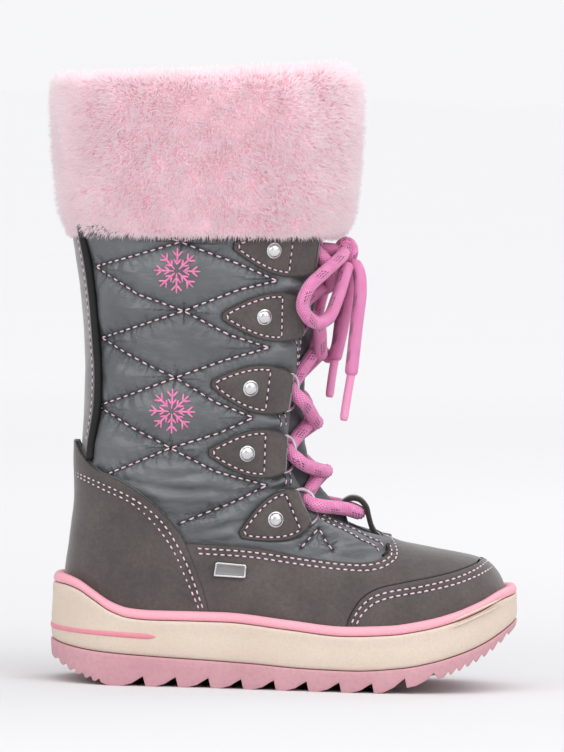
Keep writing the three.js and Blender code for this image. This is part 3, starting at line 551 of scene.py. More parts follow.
# Pink cord with darker flecks, in slanting groups that follow the braid
def makeLaceCloth():
    n = Nodes("lace")
    parts = n.add("ShaderNodeSeparateXYZ")
    n.wire(n.add("ShaderNodeUVMap", uv_map="flow").outputs["UV"], parts.inputs[0])
    run, around = parts.outputs[0], parts.outputs[1]
    # the braid: two slanting waves over each other
    wave, slant = n.times(run, 2 * math.pi / 1.15), n.times(around, 2 * math.pi * 12)
    weave = n.math(
        "MAXIMUM", n.math("SINE", n.plus(wave, slant)), n.math("SINE", n.math("SUBTRACT", wave, slant)),
    )
    # flecks: one dash on each of a few ribs, set off from rib to rib, in two groups round the cord
    inBand = n.math("LESS_THAN", n.math("FRACT", n.plus(n.times(run, 1 / 13.0), around)), 0.42)
    onRib = n.math("GREATER_THAN", n.math("FRACT", n.times(around, 16.0)), 0.45)
    inGroup = n.math("LESS_THAN", n.math("FRACT", n.times(around, 2.0)), 0.42)
    bits = n.math("GREATER_THAN", n.math("FRACT", n.plus(n.times(run, 0.62), n.times(around, 9.0))), 0.4)
    fleck = n.times(n.times(inBand, onRib), n.times(inGroup, bits))
    color = n.blendColors(n.span(n.noise(300, 2), 0.3, 0.7), tone(224, 132, 182), tone(238, 156, 200))
    # painted shade: the hollows between the braid's strands are darker
    color = n.blendColors(n.span(weave, -0.4, 0.6), tone(200, 104, 156), color)
    color = n.blendColors(n.times(fleck, 0.88), color, tone(72, 62, 74))
    n.finish(
        color, 0.72, n.bumps((weave, 0.5, 0.00028)), Sheen_Weight=0.3, Sheen_Roughness=0.4,
        Specular_IOR_Level=0.3,
    )


def makeThread(name, light, dark):
    n = Nodes(name)
    twist = n.noise(1500, 1)
    color = n.blendColors(n.span(twist, 0.35, 0.65), dark, light)
    n.finish(color, 0.6, n.bumps((twist, 0.4, 0.0002)), Sheen_Weight=0.2, Specular_IOR_Level=0.4)


def makeSteel():
    n = Nodes("steel")
    smear = n.noise(160, 3)
    fine = n.noise(900, 2)
    color = n.blendColors(n.span(smear, 0.3, 0.7), tone(206, 206, 208), tone(228, 228, 230))
    n.finish(color, n.span(fine, 0.3, 0.7, 0.16, 0.3), n.bumps((smear, 0.06, 0.0005)), Metallic=1.0)


def makeFleece(name, light, dark):
    n = Nodes(name)
    clump = n.noise(190, 3, 0.7)
    fibre = n.noise(1200, 2, 0.7)
    color = n.blendColors(n.span(clump, 0.32, 0.68), dark, light)
    normal = n.bumps((clump, 0.6, 0.0014), (fibre, 0.6, 0.0004))
    n.finish(color, 0.95, normal, Sheen_Weight=0.5, Sheen_Roughness=0.6)


makeNylon("nylon", tone(112, 115, 117), tone(92, 94, 97))
makeNylon("darkNylon", tone(84, 86, 90), tone(66, 68, 72))
makeSuede("suede", tone(96, 89, 87), tone(77, 71, 70))
makeSuede("stayLeather", tone(150, 146, 147), tone(122, 118, 119))
makeRubber("cream", tone(219, 203, 187), tone(211, 194, 178), 900, 0.0001, 0.62)
makeRubber("pinkRubber", tone(240, 170, 184), tone(234, 160, 175), 1200, 0.0001, 0.5)
makeRubber("stripePink", tone(228, 146, 158), tone(220, 136, 150), 1200, 0.0001, 0.5)
makeRubber("lugRubber", tone(207, 158, 166), tone(196, 146, 156), 520, 0.0005, 0.78)
makeRubber("blackTrim", tone(20, 19, 20), tone(12, 11, 12), 1400, 0.0001, 0.6)
makeRubber("aglet", tone(236, 158, 196), tone(226, 140, 184), 600, 0.0001, 0.3)
makeThread("thread", tone(240, 214, 222), tone(214, 180, 192))
# a dark tube of painted shade under the stitches, for the shade in their holes and gaps
makeThread("stitchShade", tone(44, 40, 42), tone(30, 27, 29))
makeThread("embroidery", tone(236, 142, 186), tone(214, 112, 162))
makeRubber("badge", tone(150, 147, 148), tone(128, 125, 126), 700, 0.0002, 0.42)
makeFleece("felt", tone(196, 192, 190), tone(168, 164, 162))
makeFleece("fleece", tone(150, 146, 148), tone(122, 118, 120))
makeFur()
makeLaceCloth()
makeSteel()
print("materials ready")

# Lace rings and tabs. The rivet's place in the side view, the tilt of the tab in degrees, and how far
# it reaches forward to its ring and back to its point.
tabPlan = dict(
    rows=[
        (-5.9, 204, -5.5, 19.5, 19),
        (-9.6, 173, 0, 17.6, 19.8),
        (-15.1, 139.7, -6, 18.4, 18.6),
        (-15.9, 109.2, -0.5, 18, 18.2),
        (-1.9, 78.5, 25, 14.6, 18.2),
    ],
    half=11.4,
    frontHalf=8.2,
    skin=1.5,
    seat=0.3,
)
ringPlan = dict(
    height=18.6, reach=12.2, wire=0.9, inset=1.6, tipRise=4.4, rise=0.3 + 1.5 + 1.02 + 0.9, fold=1.4,
)


def onTab(tab, along, up):
    x, z, tilt, _, _ = tab
    a = math.radians(tilt)
    return x + along * math.cos(a) - up * math.sin(a), z + along * math.sin(a) + up * math.cos(a)


# A ring's frame: the middle of its bar, the bar's direction, the way the ring reaches, and the way
# square to both
def ringFrame(tab, side):
    rise = ringPlan["rise"]
    ups = np.array([0.0, 6.0, -6.0])
    x, z = onTab(tab, tab[3] - ringPlan["inset"], ups)
    v, turn = seenFromSide(x, z, side, rise)
    places = offsetAt(v, turn, np.full(3, rise))
    up = unit(places[1] - places[2])
    reach = offsetAt(v[0], turnAt(v[0], 4.0 * side), ringPlan["tipRise"]) - places[0]
    reach = unit(reach - up * (reach @ up))
    return places[0], up, reach, np.cross(up, reach)


ringFrames = {(side, i): ringFrame(tab, side) for side in bothSides for i, tab in enumerate(tabPlan["rows"])}


# The same frame with the bar upwards, and the third direction to the front
def uprightFrame(i, side):
    bar, up, reach, across = ringFrames[side, i]
    return bar, up * np.sign(up[2]), reach, across * np.sign(across[0])


def labelOf(i, side):
    return f"{'outer' if side == outerSide else 'inner'}_{i + 1}"


# The bow's cords: rows of the rib, the distance to the inner side and the distance from the form
bowPlan = dict(
    radius=2.95,
    tipRadius=2.0,
    bow_loop_outer=[
        [2.3, -4.7, 10.4], [2.4, -12, 11], [2.65, -19.5, 9.8], [2.95, -25, 9.2], [3.25, -25.6, 9.2],
        [3.48, -20.8, 10.4], [3.42, -15.5, 12.2], [3.08, -12, 13], [2.7, -9, 13.2], [2.5, -5.2, 13.2],
    ],
    bow_loop_inner=[
        [2.3, 4.9, 10.4], [2.5, 12, 11.6], [3, 19, 11.2], [3.6, 20, 11.8], [4, 17, 13], [4.15, 12.5, 14.6],
        [4, 9.6, 15.6], [3.5, 9.2, 15.6], [2.9, 8.6, 14.6], [2.5, 5.4, 12.6],
    ],
    lace_end_outer=[
        [2.44, -2.4, 14.8], [2.6, -4.2, 18.4], [2.9, -5.4, 20.8], [3.5, -6, 21.8], [4.46, -6, 22.4],
    ],
    lace_end_inner=[[2.6, 2.4, 13.8], [2.9, 3.2, 15.6], [3.5, 3.4, 15], [4.2, 3.6, 13.6]],
    aglet_outer=[[4.43, -6, 22.4], [5.0, -5.8, 21.4], [5.6, -5.6, 20]],
    aglet_inner=[[4.18, 3.6, 13.6], [4.6, 3.6, 13.1], [5.05, 3.7, 12.6]],
    knot=[2.3, 0, 10.2],
)


def bowPoints(rows):
    rows = np.array(rows, float)
    return offsetAt(rows[:, 0], turnAt(rows[:, 0], rows[:, 1]), rows[:, 2])


# A lace: a tube with ribs along it, twelve shallow waves round the ring
def laceTube(path, radius, upward):
    sides = 24
    ribs = 1 + 0.05 * np.cos(12 * 2 * np.pi * np.arange(sides) / sides)
    ends = np.minimum(1, 0.55 + fromEnds(len(path)) / 3)
    return tube(path, radius * ends[:, None] * ribs, sides, upward)


def makeBow():
    names = ("bow_loop_outer", "bow_loop_inner", "lace_end_outer", "lace_end_inner")
    paths = {name: smoothPath(bowPoints(bowPlan[name]), spacing=1.0) for name in names}
    cords, tips = {}, {}
    for name, path in paths.items():
        part = laceTube(path, bowPlan["radius"], (1, 0, 0.1) if "loop" in name else (0.1, 1, 0))
        cords[name] = makeTubes(name + "_cord", [part], "lace", name, True)
    for name in ("aglet_outer", "aglet_inner"):
        path = smoothPath(bowPoints(bowPlan[name]), spacing=1.0)
        ends = np.minimum(1, 0.75 + np.arange(len(path))[::-1] / 6)
        part = tube(path, bowPlan["tipRadius"] * ends, 20, (0, 1, 0.2))
        tips[name.replace("aglet", "lace_end")] = makeTubes(
            name + "_tip", [part], "aglet", name, True,
        )


makeBow()
print("bow ready")

# The stage: a wide pale floor under an even sky, one broad sun and two soft boxes


def makeStage():
    floor = Nodes("floor")
    away = floor.add("ShaderNodeVectorMath", operation="LENGTH")
    floor.wire(floor.place, away.inputs[0])
    # a faint glow keeps the floor as pale far from the soft boxes
    glow = floor.span(away.outputs["Value"], 0.3, 3.0, 0.0, 0.2)
    floor.wire(floor.blendColors(glow, (0, 0, 0), (1, 1, 1)), floor.shader.inputs["Emission Color"])
    floor.finish(
        floor.blendColors(
            floor.noise(3, 2), (0.68, 0.68, 0.69), (0.69, 0.69, 0.7),
        ), 0.9, Specular_IOR_Level=0.05,
        Emission_Strength=1.0,
    )
    mesh = bpy.data.meshes.new("floor")
    size = 30.0
    mesh.from_pydata(
        [(-size, -size, 0), (size, -size, 0), (size, size, 0), (-size, size, 0)], [], [(0, 1, 2, 3)],
    )
    mesh.materials.append(materials["floor"])
    plane = bpy.data.objects.new("floor", mesh)
    bpy.context.collection.objects.link(plane)
    world = bpy.data.worlds.new("studio")
    bpy.context.scene.world = world
    world.use_nodes = True
    tree = world.node_tree
    background = next(n for n in tree.nodes if n.type == "BACKGROUND")
    background.inputs["Color"].default_value = (0.985, 0.985, 1.0, 1)
    path = tree.nodes.new("ShaderNodeLightPath")
    strength = tree.nodes.new("ShaderNodeMapRange")
    strength.inputs[3].default_value = 0.72  # lights the boot
    strength.inputs[4].default_value = 0.94  # seen by the camera
    tree.links.new(path.outputs["Is Camera Ray"], strength.inputs[0])
    tree.links.new(strength.outputs[0], background.inputs["Strength"])
    lights = [
        ("sun", "SUN", 1.15, (0.8, -1.0, 3.0), dict(angle=math.radians(60))),
        ("key", "AREA", 13, (-1.1, -1.4, 1.2), dict(size=1.5)),
        ("fill", "AREA", 9, (1.3, -1.1, 1.1), dict(size=1.5)),
        ("rim", "AREA", 6, (0.9, 1.2, 1.3), dict(size=1.0)),
    ]
    for name, kind, energy, place, settings in lights:
        light = bpy.data.objects.new(name, bpy.data.lights.new(name, kind))
        light.data.energy = energy
        for key, value in settings.items():
            setattr(light.data, key, value)
        light.location = place
        light.rotation_euler = (Vector((0, 0, 0.14)) - Vector(place)).to_track_quat("-Z", "Y").to_euler()
        bpy.context.collection.objects.link(light)
    bpy.context.scene.view_settings.view_transform = "Standard"


makeStage()

# The quilted shaft. All places are x and z of the side view, in millimetres, and count for both sides.
quiltPlan = dict(
    lines=[
        [(-88.4, 194.2), (-49.3, 207.0), (-22.2, 214.4)],
        [
            (-66.5, 213.3), (-49.3, 207.0), (-21.7, 197.4), (-4.2, 189.9), (-21.4, 185.7), (-47.0, 175.1),
            (-85.2, 160.9),
        ],
        [
            (-88.4, 194.2), (-68.4, 182.1), (-47.0, 175.1), (-25.6, 164.4), (-7.1, 158.8), (-27.6, 152.6),
            (-50.0, 144.0), (-85.8, 129.0),
        ],
        [
            (-85.2, 160.9), (-62.8, 149.3), (-50.0, 144.0), (-31.8, 133.2), (-13.8, 126.1), (-29.1, 118.7),
            (-51.5, 111.1), (-80.5, 97.6),
        ],
        [
            (-85.8, 129.0), (-66.7, 118.6), (-51.5, 111.1), (-31.0, 100.8), (-6.8, 94.4), (-23.5, 85.5),
            (-46.8, 75.9),
        ],
        [(9.9, 65.2), (18.1, 74.3), (25.0, 64.2)],
    ],
    puff=3.0,  # height of the padding between the seams
    puffLength=5.5,
    pucker=0.75,
    # folds: points, depth, width
    folds=[
        ([(-87, 95.6), (-70.8, 94.4), (-51.9, 92.0), (-19.0, 91.9)], 2.3, 2.1),
        ([(-72, 98.6), (-52, 97.4), (-34, 99.6)], 1.1, 2.4),
        ([(-58, 87), (-40, 84.6), (-20, 88.0)], 1.0, 2.4),
        ([(-52, 80.2), (-36, 80.5), (-22, 84)], 1.1, 1.9),
        ([(-44, 70.6), (-32, 72.6), (-18, 77.5)], 1.2, 2.0),
        ([(-40, 68.6), (-28, 68.4), (-18, 69.5)], 0.8, 1.6),
        ([(-60, 104.2), (-44, 104.6), (-31, 108.0)], 0.7, 2.2),
        ([(-30, 96.8), (-16, 96), (-4, 99)], 1.2, 1.8),
        ([(-14, 90.6), (-2, 92.4), (8, 97)], 1.0, 1.6),
        ([(8, 88.5), (16, 84), (27, 77)], 0.9, 1.7),
        ([(13, 70.0), (24, 68.5), (38, 66.4)], 0.8, 1.6),
        ([(3, 135.5), (-1.5, 129.5), (-6, 126.8)], 0.9, 1.8),
        ([(6, 171), (1, 164), (-4.5, 160.4)], 0.9, 1.8),
        ([(10, 192), (4, 190.6), (-2, 190)], 0.9, 1.6),
        ([(-78, 118), (-66, 113.5), (-58, 112)], 0.6, 2.6),
        ([(-80, 150), (-70, 147.5), (-60, 146)], 0.5, 2.6),
    ],
    stitch=2.9,
    pitch=3.75,
)
counterEdge = [
    [-84, 98.4], [-77, 96], [-68, 91.4], [-60, 85.6], [-52, 78.6], [-45.5, 70.8], [-40.8, 61.5], [-36.5, 51],
    [-33.2, 42], [-31, 33], [-30, 20],
]
vampEdge = [
    [-43, 67], [-22, 66.2], [-4, 64.4], [12, 61.8], [28, 60], [40, 60], [47, 61.6], [51.4, 64.6], [50.6, 67],
    [43.5, 75.5],
]
toeCapEdge = [
    [31.5, 20], [32.5, 31], [35.2, 38], [39.4, 43.8], [46, 48], [58, 51], [73, 54], [86, 57.4], [94, 60.6],
    [97, 63.4],
]
pipingEdge = [
    [-98.4, 216], [-94, 196.9], [-91.2, 180], [-89, 159.4], [-87.6, 144], [-87.8, 128], [-89.2, 117.6],
    [-90, 112], [-90.6, 104],
]
throatHalf = [
    [1.75, 13], [3, 15], [4, 15.2], [5, 17], [6, 18.5], [7, 18], [8, 16], [9, 14.5], [10, 12], [11, 8],
    [11.7, 4.5],
    [12.15, 1.5],
]
footbed = [[-106, 30], [-60, 29.5], [-20, 27], [12, 22.5], [38, 20.5], [60, 23], [85, 30], [106, 37.5]]


# The least distance from each point to any of the path's points, and which one that is
def nearestOn(points, path):
    best = np.full(len(points), 1e9)
    which = np.zeros(len(points), int)
    for start in range(0, len(points), 3000):
        block = points[start : start + 3000]
        squared = (block**2).sum(1)[:, None] - 2 * block @ path.T + (path**2).sum(1)
        which[start : start + 3000] = squared.argmin(1)
        best[start : start + 3000] = np.sqrt(np.maximum(squared.min(1), 0))
    return best, which


# A line of the side view laid on the form: its points, ribs, turns and the length run so far
def laidPath(line, side, spacing=1.0, distance=0.0, smooth=False):
    flat = smoothPath(line, spacing) if smooth else straightPath(line, spacing)
    v, turn = seenFromSide(flat[:, 0], flat[:, 1], side, distance)
    points = surfaceAt(v, turn)
    run = runAlong(points)
    return points, v, turn, run


quiltPaths = {side: [laidPath(line, side) for line in quiltPlan["lines"]] for side in bothSides}


# Half the height of a tab's outline at places along its axis, from its two Bezier halves: cubic
# curves from the front's corner over two handles to the blunt point behind
def tabHalfAt(tab, along):
    t = np.linspace(0, 1, 80)
    half = tabPlan["half"]
    handles = np.array([(tab[3], tabPlan["frontHalf"]), (9, half + 2), (0, half + 2.5), (-tab[4], 1.6)])
    weights = np.stack([(1 - t) ** 3, 3 * t * (1 - t) ** 2, 3 * t * t * (1 - t), t**3], -1)
    curve = weights @ handles
    return np.interp(along, curve[::-1, 0], curve[::-1, 1])


# How far places of the side view lie outside a tab's outline, below 0 inside
def beyondTab(tab, x, z):
    a = math.radians(tab[2])
    dx, dz = x - tab[0], z - tab[1]
    along, up = dx * math.cos(a) + dz * math.sin(a), -dx * math.sin(a) + dz * math.cos(a)
    inside = np.abs(up) - tabHalfAt(tab, np.clip(along, -tab[4], tab[3]))
    return np.maximum.reduce([inside, along - tab[3], -along - tab[4]])


# The nylon's height over the form. Padding rises with the distance from the nearest seam and levels
# off, small puckers cross each seam, folds are soft troughs with a low ridge on both sides, and the
# nylon lies flat where a tab, the leather or the throat's edge holds it down.
def nylonHeight(v, turn):
    shape = np.broadcast(v, turn).shape
    v, turn = np.broadcast_to(v, shape).ravel(), np.broadcast_to(turn, shape).ravel()
    points = surfaceAt(v, turn)
    x, y, z = points.T
    height = np.zeros(len(points))
    seamShade, away, runAt = np.zeros((3, len(points)))
    around = (turn + np.pi) % (2 * np.pi) - np.pi
    for side in bothSides:
        mine = (around >= 0) if side == outerSide else (around < 0)
        if not mine.any():
            continue
        p = points[mine]
        paths = quiltPaths[side]
        line = np.concatenate([path[0] for path in paths])
        run = np.concatenate([path[3] + 200 * k for k, path in enumerate(paths)])
        distance, which = nearestOn(p, line)
        rise = 1 - np.exp(-distance / quiltPlan["puffLength"])
        h = quiltPlan["puff"] * rise
        ripple = np.sin(run[which] * 2 * np.pi / 5.3) + 0.7 * np.sin(run[which] * 2 * np.pi / 8.9 + 1.3)
        h += quiltPlan["pucker"] * ripple * np.exp(-distance / 4.5) * smoothstep(distance, 0.2, 1.8)
        px, _, pz = p.T
        for foldLine, depth, width in quiltPlan["folds"]:
            if side == innerSide:
                foldLine = [(a + 1.6 * math.sin(b), b + 1.3 * math.cos(a * 0.7)) for a, b in foldLine]
            fold = smoothPath(foldLine, 1.0)
            near, at = nearestOn(p[:, ::2], fold)
            fade = np.sin(np.pi * np.clip((at + 1) / (len(fold) + 1), 0, 1)) ** 0.6
            ridge = 0.45 * np.exp(-(((near - 2.1 * width) / width) ** 2))
            h -= depth * fade * (np.exp(-((near / width) ** 2)) - ridge)
        h += 0.5 * waves(p * (1, 1, 1.6), 17, 5) + 0.22 * waves(p * (1, 1, 2), 7, 6)
        held = np.ones(len(p))
        for tab in tabPlan["rows"]:
            held = np.minimum(held, 0.06 + 0.94 * smoothstep(beyondTab(tab, px, pz), -1.5, 4.5))
        frontLine = np.concatenate(
            [laidPath(edge, side, 1.0)[0] for edge in (counterEdge[:10], vampEdge[:8])]
        )
        leather, _ = nearestOn(p, frontLine)
        held = np.minimum(held, 0.04 + 0.96 * smoothstep(leather, 0.0, 6.0))
        piping, _ = nearestOn(p, laidPath(pipingEdge, side, 1.5)[0])
        held = np.minimum(held, 0.04 + 0.96 * smoothstep(piping, 2.5, 14.0))
        h *= held
        height[mine] = h
        # painted shade along each seam, strongest on the stitch line, for the shade in the groove
        seamShade[mine] = np.exp(-((distance / 1.0) ** 2)) * 0.95
        away[mine], runAt[mine] = distance, run[which]
    throat = np.abs(y) - curveAt(throatHalf, np.clip(v, 1.75, 12.15))
    front = np.abs(around) < np.pi / 2
    height *= np.where(front & (v > 1.5) & (v < 12.4), 0.15 + 0.85 * smoothstep(throat, 0, 5), 1)
    # under the fur, the counter, the vamp, the toe cap and the backstay it is the form itself
    hidden = smoothstep(v, 1.6, 1.95)
    under = leatherCover(x, z)
    height = height * hidden * (1 - under) - 0.12 * under
    marks = (seamShade * (1 - under), away + 20 * under, runAt)
    return height.reshape(shape), [values.reshape(shape) for values in marks]


# One where the leather covers places of the side view, and none elsewhere
def leatherCover(x, z):
    counterAt = np.interp(
        -z, [-99, -98.4, -91.4, -78.6, -61.5, -42, -20], [-86, -84, -68, -52, -40.8, -33.2, -30],
    )
    vampAt = np.interp(
        x, [-43, -22, -4, 12, 28, 40, 47, 51.4, 56], [67, 66.2, 64.4, 61.8, 60, 60, 61.6, 64.6, 90],
    )
    stayAt = np.interp(
        z, [113.8, 128, 144, 159.4, 180, 196.9, 216], [-90, -87.8, -87.6, -89, -91.2, -94, -98.4],
    )
    counter = smoothstep(counterAt - x, -0.5, 1.5) * (z < 99)
    stay = smoothstep(stayAt - x, -0.5, 1.5) * (z > 96)
    return np.maximum.reduce([counter, smoothstep(vampAt - z, -0.5, 1.5), stay])


# A closed shell over a grid that runs round the boot. The outside is fine, and the inside takes
# every step-th row and column of it. cells says which of the coarse cells are there.
def coarseShell(outside, inside, cells, step):
    rows, columns = outside.shape[:2]
    inRows, inColumns = inside.shape[:2]
    start = rows * columns
    quads = gridCells(rows, columns, True)[np.repeat(np.repeat(cells, step, 0), step, 1)]
    inner = gridCells(inRows, inColumns, True)[cells][:, ::-1] + start
    i, j = np.nonzero(cells)
    padded = np.pad(cells, ((1, 1), (0, 0)))
    # the sides of a cell that have no neighbour, each with its two corners
    lacks = (
        (~padded[:-2], (0, 0), (0, 1)), (~padded[2:], (1, 1), (1, 0)),
        (~np.roll(cells, 1, 1), (1, 0), (0, 0)), (~np.roll(cells, -1, 1), (0, 1), (1, 1)),
    )
    walls = []
    for missing, (a, b), (c, d) in lacks:
        at = missing[i, j]
        a, b, c, d = i[at] + a, j[at] + b, i[at] + c, j[at] + d
        steps = np.arange(step, -1, -1)
        fineI = a[:, None] * step + (c - a)[:, None] * steps
        fineJ = b[:, None] * step + (d - b)[:, None] * steps
        outer = fineI * columns + fineJ % columns
        first, last = start + a * inColumns + b % inColumns, start + c * inColumns + d % inColumns
        walls.append(np.concatenate([outer, first[:, None], last[:, None]], 1))
    return np.concatenate(
        [outside.reshape(-1, 3), inside.reshape(-1, 3)]
    ), quads, inner, np.concatenate(walls)


# Turns round the boot for each rib: a part of the columns lies in the throat and the rest run evenly
# from its one edge over the back to the other
def columnTurns(v, throatColumns, columns):
    half = curveAt(throatHalf, np.clip(v, 1.75, 12.15))
    edge = np.abs(turnAt(v, half))[:, None]
    across = np.linspace(-1, 1, throatColumns + 1)[None]
    around = np.linspace(0, 1, columns - throatColumns + 1)[None, 1:-1]
    return np.concatenate([edge * across, edge + (2 * np.pi - 2 * edge) * around], 1)


# Lifts points that would lie under the footbed
def keepOverBed(points):
    points[..., 2] = np.maximum(points[..., 2], curveAt(footbed, points[..., 0]) + 0.3)
    return points


# The cells of the wall that are there: above the footbed and outside the throat
def wallCells(v, wall, throatColumns):
    high = wall[..., 2] > curveAt(footbed, wall[..., 0]) + 0.32
    high = high[:-1] | high[1:]
    high = high | np.roll(high, -1, 1)
    middle = (v[:-1] + v[1:]) / 2
    high[:, :throatColumns] &= ~((middle > 1.7) & (middle < 12.15))[:, None]
    return high


# Laid on the nylon: the points and outward directions of places of the side view
def laidOnNylon(x, z, side):
    v, turn = seenFromSide(x, z, side)
    outward = normalAt(v, turn)
    return surfaceAt(v, turn) + outward * nylonHeight(v, turn)[0][:, None], outward


def makeUpper():
    step, throatColumns, columns = 4, 16, 264
    v = np.concatenate([
        np.linspace(-0.0, 1.6, 8, endpoint=False), np.linspace(1.6, 7, 140, endpoint=False),
        np.linspace(7, 12.4, 128, endpoint=False), np.linspace(12.4, 16.9, 25),
    ])
    turn = columnTurns(v, throatColumns, columns)
    ribs = np.broadcast_to(v[:, None], turn.shape)
    height, marks = nylonHeight(ribs, turn)
    outside = keepOverBed(offsetAt(ribs, turn, height))
    inside = keepOverBed(offsetAt(ribs[::step, ::step], turn[::step, ::step], -0.9))
    cells = wallCells(v[::step], outside[::step, ::step], throatColumns // step)
    points, quads, inner, walls = coarseShell(outside, inside, cells, step)
    rest = np.zeros(inside[..., 0].size)
    marks = [np.concatenate([values.ravel(), rest]) for values in marks]
    attributes = dict(zip(("seamShade", "away", "run"), marks))
    makePiece("shaft_nylon", points, [quads, inner, walls], "nylon", "upper", attributes=attributes)


def makeLining():
    throatColumns, columns = 4, 72
    v = np.concatenate([np.linspace(-0.0, 12.4, 60, endpoint=False), np.linspace(12.4, 16.8, 9)])
    turn = columnTurns(v, throatColumns, columns)
    ribs = np.broadcast_to(v[:, None], turn.shape)
    outside, inside = keepOverBed(offsetAt(ribs, turn, -1.2)), keepOverBed(offsetAt(ribs, turn, -3.0))
    points, quads, inner, walls = coarseShell(outside, inside, wallCells(v, outside, throatColumns), 1)
    makePiece("shaft_lining", points, [quads, inner, walls], "fleece", "upper")


makeUpper()
makeLining()
print("shaft ready")

# The tongue: its margins lie under the throat's edges, and its middle swells out between them
tonguePlan = dict(margin=5, clearance=1.1, swell=4.6, thickness=3)


def makeTongue():
    v = np.linspace(1.2, 11.6, 120)[:, None]
    across = np.linspace(1, -1, 33)[None]
    half = curveAt(throatHalf, np.maximum(v, 1.75)) + tonguePlan["margin"]
    gap = np.maximum(1, half - tonguePlan["margin"] - 1.5)
    ends = smoothstep(v, 1.75, 2.55) * (1 - smoothstep(v, 9.6, 10.8))
    middle = 1 - smoothstep(np.abs(across * half), 0.2 * gap, gap)
    turn = turnAt(v, across * half)
    ribs = np.broadcast_to(v, turn.shape)
    distance = -(3 + tonguePlan["clearance"]) + tonguePlan["swell"] * ends * middle
    base = surfaceAt(ribs, turn)
    wrinkles = 0.35 * waves(base * (1, 1, 1.7), 9, 21) + 0.2 * waves(base * (1, 0.6, 2.4), 4.5, 22)
    outside = offsetAt(ribs, turn, distance + wrinkles * ends * middle)
    inside = offsetAt(ribs, turn, distance - tonguePlan["thickness"])
    marks = dict(seamShade=np.zeros(2 * turn.size), away=np.full(2 * turn.size, 30.0))
    makeShell(
        "tongue_padded", outside, inside, normalAt(ribs, turn), "darkNylon", "tongue", marks
    )


makeTongue()


# The insole: a felt sheet that follows the footbed inside the lining
def makeInsole():
    x = np.concatenate([[-90.5], np.linspace(-90, 96, 90), [96.6]])[:, None]
    across = np.linspace(-1, 1, 31)[None]
    z = curveAt(footbed, x) + 0.6
    heel = np.clip((x + 91) / 30, 0, 1)
    toe = np.clip((97.2 - x) / 42, 0, 1)
    half = curveAt([[-91, 24.5], [-40, 25.5], [0, 30], [42, 34.5], [70, 33.5], [97, 30]], x)
    for end in (heel, toe):
        half = half * np.sqrt(np.maximum(1 - (1 - end) ** 2.3, 0.002))
    middle = curveAt([[-91, 0], [0, 0.8], [45, 1.8], [80, 3.6], [97, 4.6]], x)
    y = middle + half * across
    low = np.stack(np.broadcast_arrays(x, y, z), -1)
    high = low.copy()
    high[..., 2] += 3.5 * np.sqrt(np.maximum(1 - np.abs(across) ** 14, 0.04))
    high[..., 2] += 0.3 * waves(high.reshape(-1, 3), 14, 31).reshape(y.shape)
    makeShell("insole_felt", high, low, np.broadcast_to([0.0, 0, 1], low.shape), "felt", "insole")


makeInsole()

# Leather overlays
leatherPlan = dict(
    seat=0.3, counterSkin=2.1, vampSkin=1.6, toeCapSkin=2.4, staySkin=1.2, flapLean=3.2, flapHalf=0.75,
    stitch=2.6, pitch=3.35,
)


# How an overlay's thickness rises from its cut edge: a wall of a little under half, then a quarter
# round over the first millimetre
def edgeRound(distance, reach=1.1):
    t = np.clip(distance / reach, 0, 1)
    return 0.42 + 0.58 * np.sqrt(1 - (1 - t) ** 2)


# Shares from 0 to 1 that crowd at the start, where the cut edge is
def crowded(count, length):
    near = np.array([0, 0.12, 0.35, 0.7, 1.2, 1.8]) / length
    return np.concatenate([near[:-1], np.linspace(near[-1], 1, count - 5)])


def gridDistance(points, axis):
    run = np.linalg.norm(np.diff(points, axis=axis), axis=-1)
    return np.concatenate([np.zeros_like(np.take(run, [0], axis)), np.cumsum(run, axis)], axis)


# Grooves of the stitch rows on both sides: each one's points and its depth
def sewnGrooves(key, distance, depth):
    rows = [(row, side) for side in bothSides for row in stitchRows[key]]
    return [(laidPath(row, side, 1.0, distance, True)[0], depth) for row, side in rows]


# How far the flap at the top of the counter leans back
def flapLeanAt(v, turn):
    across = (turn - np.pi) / leatherPlan["flapHalf"]
    return leatherPlan["flapLean"] * np.maximum(0, 1 - across**2) * (1 - smoothstep(v, 5.9, 7.4))


# Columns from the outer edge over the back to the inner edge, crowded at both edges: each one's part
# of the way to the back, and its turn
def roundTheBack(edgeTurn, count, length):
    share = crowded(count, length)
    share = np.concatenate([share, 2 - share[:-1][::-1]])[None]
    part = 1 - np.abs(1 - share)
    toBack = (np.pi - edgeTurn) * part
    return part, np.where(share <= 1, edgeTurn + toBack, 2 * np.pi - edgeTurn - toBack)


def makeOverlay(
    name, node, v, turn, skin, fromEdge, seams=(), lean=0.0, puff=0.0, weld=None, skipRow=None,
    grain=(0.12, 13, 41), finish="suede",
):
    base = surfaceAt(v, turn)
    outwards = normalAt(v, turn)
    rough = grain[0] * waves(base, grain[1], grain[2]) + 0.05 * waves(base, 4, grain[2] + 1)
    rough = rough * smoothstep(fromEdge, 0.5, 3)
    groove = np.zeros(v.shape)
    for line, depth in seams:
        near, _ = nearestOn(base.reshape(-1, 3), line)
        groove += depth * np.exp(-((near / 0.85) ** 2)).reshape(v.shape)
    skinAt = skin * edgeRound(fromEdge) + puff * smoothstep(fromEdge, 1, 9) + rough - groove
    outside = keepOverBed(base + outwards * (leatherPlan["seat"] + skinAt + lean)[..., None])
    inside = keepOverBed(base + outwards * (np.zeros(v.shape) + leatherPlan["seat"] + lean)[..., None])
    # edge: the cut edge's own dark colour with painted shade beside it, and painted shade in the stitch
    # grooves
    edge = np.maximum(np.exp(-((fromEdge / 0.55) ** 2)), groove * 1.1)
    shade = dict(edge=np.concatenate([edge.ravel(), np.ones(v.size)]))
    makeShell(name, outside, inside, outwards, finish, node, shade, weld, skipRow)


